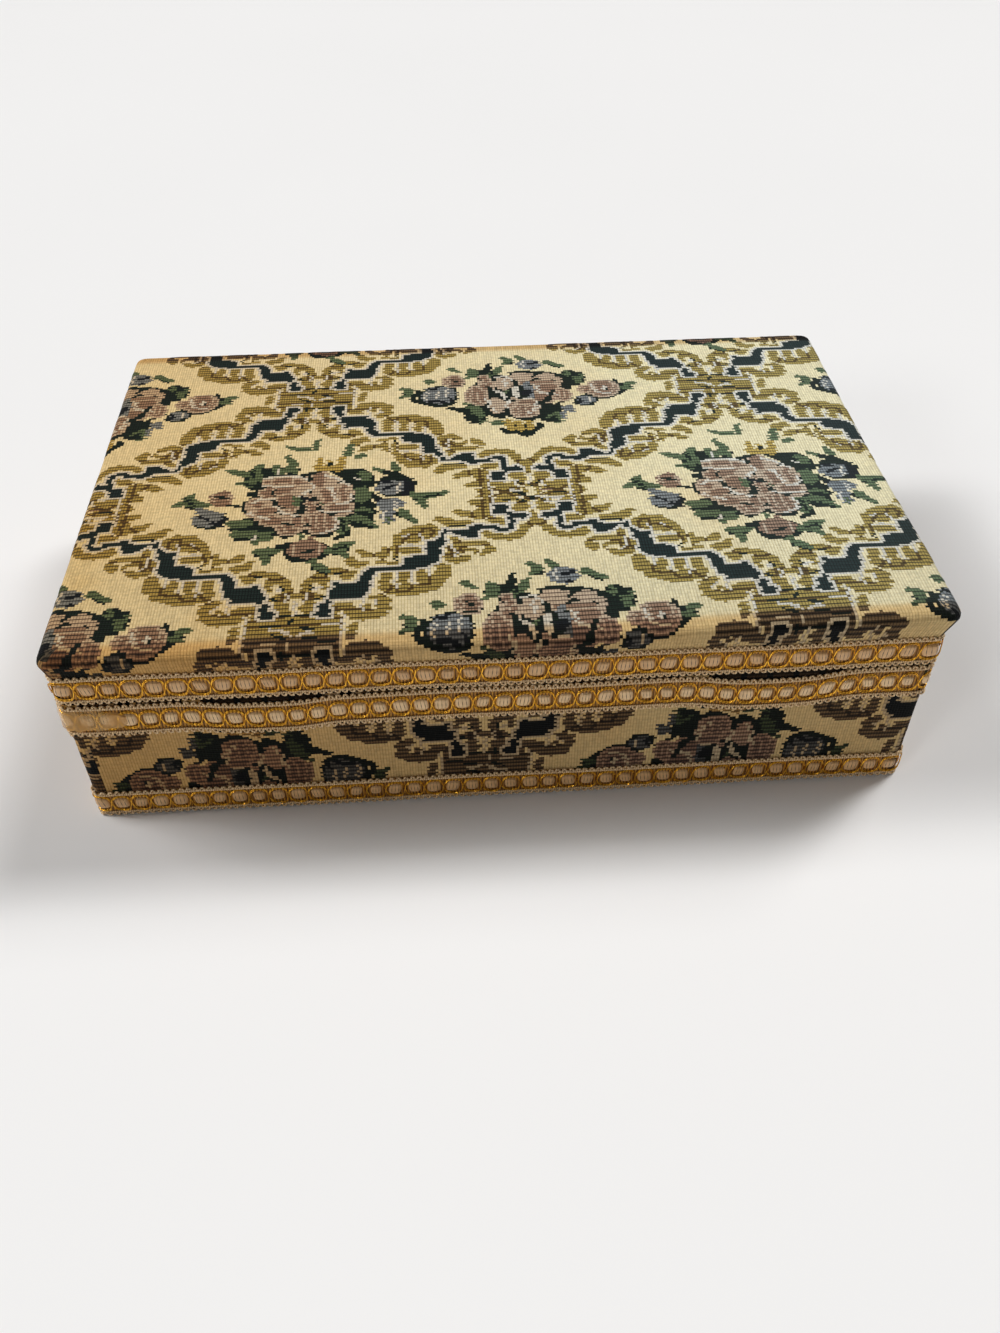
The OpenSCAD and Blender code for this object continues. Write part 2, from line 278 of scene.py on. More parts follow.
RIBBON = (
    # Tail and first flag, drawn on as a thin link
    [(5.4, 6.2), (6.0, 5.3), (8.8, 5.3), (9.2, 7.2), (8.9, 10.2), (9.6, 12.0), (16.9, 12.1), (17.4, 13.9), (18.8, 14.6),
     (19.3, 17.0), (19.6, 20.8), (20.8, 22.2), (27.4, 22.2), (27.4, 23.7), (20.4, 24.0), (18.0, 23.3), (16.8, 21.2),
     (16.3, 18.8), (15.2, 17.8), (11.8, 17.6), (10.9, 18.6), (9.6, 18.6), (9.6, 15.6), (8.3, 15.2), (8.2, 11.6),
     (7.2, 10.8), (6.2, 9.6), (6.4, 8.0), (5.4, 7.4)],
    # Second flag
    [(27.4, 22.1), (30.4, 22.5), (33.8, 23.3), (36.4, 24.5), (37.6, 26.0), (37.7, 31.6), (38.9, 32.3), (39.2, 36.0),
     (40.6, 38.0), (39.4, 39.3), (38.1, 36.4), (36.8, 34.7), (34.2, 34.4), (33.8, 28.7), (31.6, 28.1), (28.6, 27.7),
     (27.8, 24.2), (27.2, 23.7)],
    # Third flag and its link
    [(39.2, 37.5), (41.0, 38.0), (42.2, 37.5), (43.6, 36.0), (45.0, 35.7), (45.0, 35.0), (48.4, 34.9), (48.8, 37.0),
     (49.6, 39.0), (53.9, 39.1), (53.9, 40.1), (50.4, 40.2), (50.1, 41.4), (48.1, 41.0), (46.9, 39.9), (45.5, 38.9),
     (42.4, 38.9), (39.2, 39.2)],
    [(53.4, 38.0), (54.4, 38.0), (54.4, 40.1), (53.4, 40.1)],
    # Hook over the medallion's corner, and the square inside it
    [(54.6, 37.3), (56.6, 37.3), (58.5, 38.3), (58.9, 40.0), (58.9, 43.4), (60.0, 43.6), (60.8, 42.6), (61.8, 42.6),
     (63.2, 44.2), (62.2, 45.4), (59.0, 45.2), (58.6, 46.4), (57.3, 46.4), (57.2, 39.2), (55.0, 39.0), (54.2, 38.2)],
    [(53.8, 45.8), (57.4, 45.8), (57.4, 50.0), (53.8, 50.0)],
)

# Short floats over a crossing and over a medallion, which aren't mirrored
CROSSING_FLOATS = (
    ("pale", [(-5.8, -1.4, 0.5), (-2.8, -0.7, 0.55), (-0.6, 0.8, 0.5)]),
    ("dark_green", [(-8.4, -2.9, 0.4), (-3.8, -2.3, 0.4)]),
    ("dark_green", [(-4.8, 0.6, 0.4), (-1.8, 1.7, 0.45)]),
    ("pale", [(-1.2, 3.0, 0.4), (-0.6, 5.2, 0.4)]),
    ("pale", [(1.2, 1.4, 0.45), (3.4, -0.2, 0.45), (5.8, 0.4, 0.45)]),
    ("dark_green", [(1.6, -1.7, 0.45), (5.0, -1.3, 0.45)]),
    ("dark_green", [(3.2, 2.2, 0.4), (6.6, 2.0, 0.4)]),
    ("dark_green", [(-3.2, 5.8, 0.4), (-3.4, 7.6, 0.45)]),
    ("dark_green", [(-0.9, -4.6, 0.4), (-0.5, -3.0, 0.4)]),
    ("pale", [(-7.6, 3.0, 0.4), (-4.2, 3.4, 0.4)]),
    ("pale", [(6.8, -2.9, 0.4), (10.6, -2.9, 0.4)]),
    ("dark_green", [(6.2, 3.1, 0.35), (10.8, 3.1, 0.35)]),
)
MEDALLION_FLOATS = (
    ("dark_green", [(-5.8, 0.3, 0.45), (-2.6, 1.0, 0.5), (0.2, 4.2, 0.55)]),
    ("pale", [(-6.0, -0.8, 0.45), (-3.6, -0.6, 0.4)]),
    ("dark_green", [(-4.6, 4.2, 0.45), (-2.6, 5.0, 0.45)]),
    ("rose", [(3.0, -0.4, 0.5), (6.0, -0.2, 0.5)]),
    ("pale", [(1.0, 2.6, 0.4), (4.6, 3.6, 0.4)]),
    ("dark_green", [(7.0, 1.0, 0.4), (9.4, 1.0, 0.4)]),
    ("pale", [(5.2, 3.6, 0.5), (8.4, 3.8, 0.5)]),
    ("dark_green", [(-8.0, 4.0, 0.4), (-6.4, 4.0, 0.4)]),
)


def paint_scrolls(chart, u, v):
    """Gold scrolls. Where one lies over another, a dark line parts them."""
    for stroke in SCROLLS:
        mask = under_stroke(u, v, [(x, y, radius * SCROLL_WEIGHT) for x, y, radius in stroke])
        chart[grown(mask) & (chart == YARN["gold"])] = YARN["brown"]
        chart[mask] = YARN["gold"]


def paint_trellis(chart, right, down):
    """The scrolls, mirrored left to right and up and down about every crossing and medallion."""
    u = np.abs(wrapped(right, REPEAT_W))
    v = np.abs(wrapped(down, REPEAT_D))
    paint_scrolls(chart, u, v)
    paint(chart, u, v, "pale", SLITS)
    paint(chart, u, v, "dark_green", MARKS)
    ribbon = np.zeros(chart.shape, bool)
    for corners in RIBBON:
        ribbon |= under_polygon(u, v, corners)
    chart[grown(ribbon)] = YARN["pale"]
    chart[ribbon] = YARN["ribbon"]
    for yarn, stroke in CROSSING_FLOATS:
        paint(chart, wrapped(right, REPEAT_W), wrapped(down, REPEAT_D), yarn, [stroke])
    across, along = wrapped(right - REPEAT_W / 2, REPEAT_W), wrapped(down - REPEAT_D / 2, REPEAT_D)
    for yarn, stroke in MEDALLION_FLOATS:
        paint(chart, across, along, yarn, [stroke])


# Bouquets: layers of (yarn, edge, shapes) in the order in which they are drawn. Shapes are brush strokes of
# (right, down, radius) and ovals of (right, down, half width, half height), from the bouquet's middle.

ROUND_BOUQUET = (
    ("dark_green", None, (
        (-1.0, 2.0, 15.6, 14.6), (15.6, 7.6, 4.6, 7.4), (14.6, -8.0, 4.6, 6.0), (-13.0, 12.6, 7.6, 5.4),
        (-12.6, -10.6, 6.4, 6.2), (25.4, -5.0, 5.8, 5.8), (1.2, 24.4, 6.4, 4.8), (-26.4, 8.2, 5.0, 4.0),
        [(-18.6, -14.2, 1.2), (-10.0, -15.6, 1.6), (-3.6, -14.6, 1.2)], [(8.0, -13.4, 1.6), (16.0, -12.6, 1.6)],
        [(12.0, 17.0, 1.4), (9.6, 19.0, 1.0)], [(18.6, -0.6, 1.6), (20.6, 1.6, 1.0)],
        [(31.0, 1.0, 0.9), (33.4, 3.4, 0.9)], [(26.2, 8.6, 1.0), (29.6, 12.0, 0.8)],
        [(-34.4, 1.0, 0.8), (-29.4, 2.4, 0.8)], [(-11.6, 24.8, 1.0), (-7.0, 24.6, 0.9)],
        [(9.0, 26.0, 0.9), (12.4, 24.0, 0.9)], [(4.0, 31.8, 0.8), (7.0, 34.0, 0.6)],
    )),
    ("green", None, (
        [(-7.0, -27.4, 0.9), (-4.0, -26.0, 1.2), (-0.6, -26.0, 1.2)],
        [(1.6, -25.4, 0.8), (1.6, -28.0, 1.0), (2.2, -30.4, 0.9)],
        [(11.9, -26.8, 1.2), (11.2, -22.6, 1.5)],
        [(13.6, -20.6, 1.2), (16.2, -21.8, 0.9)],
        [(-24.2, -16.3, 0.7), (-21.0, -15.0, 1.4), (-18.0, -13.5, 1.5)],
        [(-15.4, -17.6, 1.5), (-15.2, -12.0, 2.1), (-15.0, -8.5, 1.7)],
        [(-20.8, -9.3, 0.8), (-17.2, -9.0, 1.8), (-14.6, -9.2, 1.6)],
        [(-7.0, -22.6, 0.8), (-5.8, -19.0, 1.5), (-4.6, -14.6, 1.6), (-4.2, -12.6, 1.2)],
        [(-10.4, -17.4, 1.0), (-8.6, -14.4, 1.7), (-6.4, -14.8, 1.2)],
        [(-20.0, 10.6, 1.6), (-16.6, 10.4, 1.7), (-14.0, 10.6, 1.4)],
        [(-19.0, 15.0, 1.6), (-15.8, 15.4, 2.6)],
        [(-12.6, 15.8, 1.3), (-10.0, 15.4, 1.6), (-9.4, 18.2, 1.1)],
        [(-12.8, 19.4, 1.2), (-11.4, 18.2, 1.0)],
        [(15.2, -11.8, 1.2), (17.0, -11.0, 1.5), (16.2, -8.8, 1.7)],
        (16.0, -1.0, 2.7, 4.2),
        [(15.4, 6.0, 1.1), (17.9, 6.8, 1.0)],
        [(13.2, 9.6, 1.6), (16.6, 11.2, 1.9), (19.2, 14.4, 1.3)],
        (10.8, 13.6, 1.7, 4.4),
        [(24.9, -16.8, 0.9), (26.0, -13.4, 1.5)],
        [(19.4, -14.2, 0.8), (21.6, -12.8, 1.1)],
        [(30.5, 0.0, 1.6), (33.5, 1.0, 1.8), (37.0, 0.4, 1.3), (40.4, -0.8, 0.7)],
        [(32.6, 4.0, 1.5), (34.2, 6.2, 0.9)],
        [(27.5, 8.0, 1.5), (29.4, 10.6, 1.5), (31.2, 13.2, 0.8)],
        [(-37.8, 0.8, 0.8), (-34.5, -1.2, 1.7), (-33.0, -3.8, 1.4)],
        [(-34.0, -0.6, 1.6), (-31.5, 0.0, 1.9), (-28.6, 0.9, 1.1)],
        [(-12.6, 23.3, 1.2), (-9.0, 23.5, 1.8), (-6.5, 23.5, 1.3)],
        [(-10.0, 26.5, 1.5), (-9.0, 29.0, 0.9)],
        [(7.5, 24.5, 1.5), (10.5, 22.8, 1.9), (13.6, 21.4, 0.8)],
        [(10.6, 25.2, 1.5), (12.0, 27.2, 1.0)],
        [(3.0, 28.5, 1.1), (5.0, 31.0, 1.5), (7.6, 33.2, 0.9)],
        [(-0.4, 16.8, 0.7), (0.0, 20.6, 0.7)],
    )),
    ("dark_green", None, (
        [(-16.4, -16.0, 0.5), (-16.2, -12.4, 0.6)],
        [(-18.4, -8.6, 0.5), (-15.6, -8.0, 0.5)],
        [(-13.0, -15.6, 1.0), (-11.4, -12.6, 1.7), (-9.6, -11.4, 0.9)],
        [(-5.6, -13.0, 0.8), (-4.0, -12.0, 0.9)],
        [(-14.6, -9.6, 0.7), (-14.4, -6.2, 0.9)],
        [(-16.4, -4.0, 0.8), (-15.4, -2.2, 1.2), (-12.8, -1.6, 0.6)],
        [(-17.6, 0.4, 0.8), (-17.4, 4.6, 0.8)],
        [(-12.6, 10.2, 1.1), (-12.6, 12.6, 1.9), (-9.4, 13.4, 1.4), (-7.0, 12.6, 0.9)],
        [(-18.8, 12.8, 0.7), (-14.8, 13.0, 0.9)],
        [(-18.4, 17.6, 0.5), (-14.6, 17.9, 0.6)],
        [(-7.3, 12.2, 0.8), (-7.2, 15.6, 1.0), (-4.8, 17.4, 0.9), (-2.4, 16.2, 0.7)],
        [(0.8, 13.8, 0.8), (1.6, 16.0, 1.0), (4.6, 17.5, 0.9), (7.6, 17.0, 1.1), (8.6, 14.0, 1.1), (8.9, 10.6, 0.8)],
        [(12.4, -2.6, 0.6), (12.8, 0.4, 0.9), (12.4, 2.0, 1.2), (13.9, 3.6, 0.9), (13.5, 6.8, 0.9), (12.8, 8.4, 1.2)],
        [(9.0, -11.2, 0.6), (10.6, -10.0, 1.0), (11.8, -8.4, 1.3)],
        [(15.2, -7.2, 0.7), (19.6, -6.8, 0.9)],
        [(11.9, -13.8, 0.5), (12.6, -10.4, 0.7)],
        [(15.4, 12.6, 0.6), (18.2, 14.8, 0.8)],
        [(10.6, 10.4, 0.5), (10.8, 15.4, 0.6)],
        [(22.6, -11.6, 1.2), (25.6, -10.6, 1.6), (27.4, -8.6, 1.2)],
        [(-6.4, 22.0, 1.2), (-4.0, 21.0, 1.0), (-1.0, 20.8, 0.8)],
        [(8.6, 24.2, 0.5), (11.4, 22.8, 0.5)],
        [(34.0, 1.4, 0.5), (37.6, 0.6, 0.5)],
        [(-34.6, -2.4, 0.6), (-32.4, 0.6, 0.6)],
    )),
    ("yellow", None, (
        [(2.2, -20.2, 0.9), (2.8, -15.6, 1.5), (4.6, -14.4, 1.3)],
        [(5.8, -15.4, 1.6), (7.6, -15.0, 1.6)],
        [(9.2, -20.4, 1.1), (9.0, -14.6, 1.5)],
        [(5.4, -19.2, 0.8), (5.2, -17.0, 0.8)],
    )),
    ("rose", "pink", (
        (-11.2, -9.4, 1.6, 1.6), (-6.8, -9.2, 4.0, 2.0), (-2.6, -8.8, 1.8, 1.8),
        (3.2, -9.2, 2.6, 3.6), (-11.3, -4.0, 1.4, 3.6), (-6.6, -5.0, 3.0, 2.4), (-5.8, 2.0, 2.8, 4.4),
        (6.0, -1.0, 2.2, 3.6), (10.2, -2.0, 2.2, 4.6), (-14.2, 2.4, 2.2, 3.4), (-10.0, 6.2, 4.6, 2.6),
        (-7.0, 9.6, 4.4, 2.6), (-4.2, 13.6, 2.8, 2.6), (4.6, 11.4, 3.8, 4.9), (9.4, 5.4, 3.6, 2.6),
        (2.2, 2.6, 1.6, 4.6), (-0.8, 10.6, 2.4, 3.0),
    )),
    ("pink", None, (
        [(-12.6, -10.6, 0.5), (-9.0, -11.0, 0.5), (-5.0, -10.9, 0.5), (-1.6, -9.6, 0.5), (0.2, -7.8, 0.5)],
        [(-12.6, -7.4, 0.7), (-8.0, -7.2, 0.6), (-3.4, -7.2, 0.7)],
        (6.8, -8.2, 2.2, 3.4), (-1.6, -4.0, 2.8, 3.4), (-15.2, 4.8, 1.6, 2.6),
        [(-12.2, 0.2, 1.0), (-9.2, 2.4, 0.8), (-6.8, 5.2, 0.7)],
        [(2.4, -4.6, 0.8), (2.8, 3.8, 0.7)],
        [(-8.6, 7.2, 0.8), (-4.6, 9.0, 0.7)],
        [(-0.4, 6.8, 0.6), (0.0, 12.4, 0.6)],
        [(4.6, 2.6, 0.5), (6.0, 5.4, 0.5), (9.4, 9.0, 0.7), (11.8, 8.4, 0.6)],
        [(12.6, 4.2, 0.7), (12.6, 7.4, 0.6)],
        [(9.2, -5.4, 0.5), (9.2, 1.8, 0.5)],
        [(11.8, -5.0, 0.5), (11.8, 1.2, 0.5)],
        [(3.6, 7.4, 0.4), (3.6, 14.6, 0.4)],
        [(5.8, 8.0, 0.4), (5.8, 15.2, 0.4)],
        [(-5.6, 12.6, 0.5), (-5.4, 15.0, 0.5)],
        [(4.6, -6.2, 0.6), (7.6, -3.8, 0.6)],
        [(-13.4, 6.8, 0.5), (-13.0, 9.0, 0.6)],
    )),
    ("dark_green", None, (
        [(-9.8, 0.4, 0.4), (-7.8, 2.8, 0.5), (-6.8, 4.0, 0.4)],
        [(-8.4, 5.6, 0.4), (-5.0, 7.0, 0.5), (-1.8, 8.2, 0.5)],
        [(-9.7, -4.8, 0.6), (-9.6, -2.2, 0.6)],
        [(2.2, -0.6, 0.5), (2.4, 0.8, 0.6)],
        [(-0.8, 1.8, 0.5), (-0.5, 6.6, 0.5)],
        [(3.4, 3.6, 0.5), (3.6, 5.0, 0.9)],
        [(5.8, 7.0, 0.5), (8.0, 8.0, 0.7)],
        [(-1.6, -10.8, 0.5), (0.4, -10.0, 0.7), (0.4, -8.6, 0.4)],
        [(1.0, -13.0, 0.5), (3.8, -13.2, 0.5)],
        [(-6.2, 11.4, 0.5), (-3.4, 12.0, 0.4)],
        [(0.4, 12.4, 0.5), (2.0, 12.8, 0.5)],
        [(5.4, -17.8, 0.6), (6.4, -16.8, 0.6)],
        [(-13.2, -6.8, 0.5), (-12.6, -6.4, 0.5)],
    )),
    ("green", None, ([(-3.0, -0.6, 0.9), (-2.6, 2.6, 1.2)], [(4.8, 2.4, 0.4), (5.2, 3.2, 0.4)])),
    ("navy", None, ([(-2.0, -1.6, 0.5), (0.0, -0.2, 0.8), (1.4, 1.0, 0.6)],)),
    ("pale", None, (
        [(-12.8, -11.2, 0.5), (-8.6, -11.9, 0.5), (-3.0, -11.4, 0.5), (-0.6, -9.8, 0.5)],
        [(-12.6, -7.2, 0.4), (-9.0, -6.8, 0.45), (-4.6, -6.9, 0.4)],
        [(-15.6, 1.0, 0.5), (-12.6, -0.9, 0.5), (-9.4, -0.6, 0.4)],
        [(-16.0, 5.2, 0.5), (-13.4, 7.6, 0.5), (-9.6, 9.0, 0.4)],
        [(-8.8, 3.2, 0.4), (-6.8, 6.0, 0.45), (-2.6, 8.0, 0.45)],
        [(4.8, -11.4, 0.5), (8.6, -9.6, 0.5), (11.4, -6.0, 0.5)],
        [(5.0, -5.2, 0.4), (7.6, -4.6, 0.45), (8.2, 1.6, 0.4)],
        [(13.0, -1.6, 0.4), (12.6, 2.6, 0.5), (8.4, 3.4, 0.45)],
        [(4.6, 6.2, 0.4), (7.8, 6.9, 0.45), (13.2, 6.6, 0.5)],
        [(9.4, 9.6, 0.4), (9.0, 14.2, 0.5), (5.6, 16.6, 0.5)],
        [(-1.8, -1.4, 0.4), (1.2, -4.6, 0.45), (1.4, -7.6, 0.4)],
        [(-13.8, 18.2, 0.5), (-12.4, 16.4, 0.4)],
        [(-9.4, -15.6, 0.4), (-8.6, -13.6, 0.4)],
        [(13.8, -9.4, 0.4), (15.0, -8.4, 0.4)],
    )),
    ("blue", None, ((-26.9, 7.6, 4.6, 3.8), [(-29.8, 3.6, 1.6), (-28.0, 5.0, 1.6)])),
    ("navy", None, ([(-25.4, 9.6, 0.6), (-23.0, 10.8, 0.9), (-22.8, 7.4, 0.7)], [(-29.6, 6.0, 0.5), (-27.4, 8.0, 0.5)])),
    ("rose", None, ((-24.5, -1.9, 3.4, 4.0),)),
    ("dark_green", None, ([(-25.4, -2.6, 0.7), (-23.6, -2.4, 0.8)], [(-22.0, 1.6, 0.5), (-19.2, 2.0, 0.5)])),
    ("pink", None, ([(-26.6, -4.2, 0.4), (-26.4, -0.4, 0.4)], [(-21.6, -3.6, 0.5), (-21.8, 0.0, 0.4)])),
    ("blue", None, ((24.0, -4.2, 4.2, 3.8), (24.0, 4.0, 4.0, 2.8), (23.4, 9.4, 2.2, 4.0))),
    ("navy", None, (
        [(28.2, -7.2, 1.1), (29.8, -3.6, 1.5), (28.2, -0.6, 1.2)],
        [(21.6, -6.8, 0.6), (23.8, -7.0, 0.6)],
        [(22.6, -3.4, 0.7), (25.0, -5.0, 0.7)],
        [(20.4, 2.0, 0.5), (23.6, 1.4, 0.6)],
    )),
    ("pale", None, ([(26.0, -5.8, 0.4), (26.2, -1.6, 0.4)], [(25.4, 3.0, 0.4), (25.6, 6.0, 0.4)],
                    [(22.4, 7.4, 0.4), (22.4, 11.6, 0.4)])),
    ("green", None, ([(23.6, 10.4, 0.6), (23.4, 13.2, 0.6)],)),
    ("rose", None, ((1.0, 23.6, 5.2, 4.2), [(2.5, 18.4, 1.0), (3.0, 21.0, 1.2)])),
    ("dark_green", None, ([(0.4, 24.8, 0.6), (3.0, 24.2, 0.6)], [(-3.4, 26.6, 0.5), (0.6, 28.0, 0.5)])),
    ("pink", None, ([(-2.4, 21.6, 0.4), (-2.0, 25.8, 0.4)], [(4.6, 21.8, 0.4), (4.8, 25.6, 0.4)])),
)

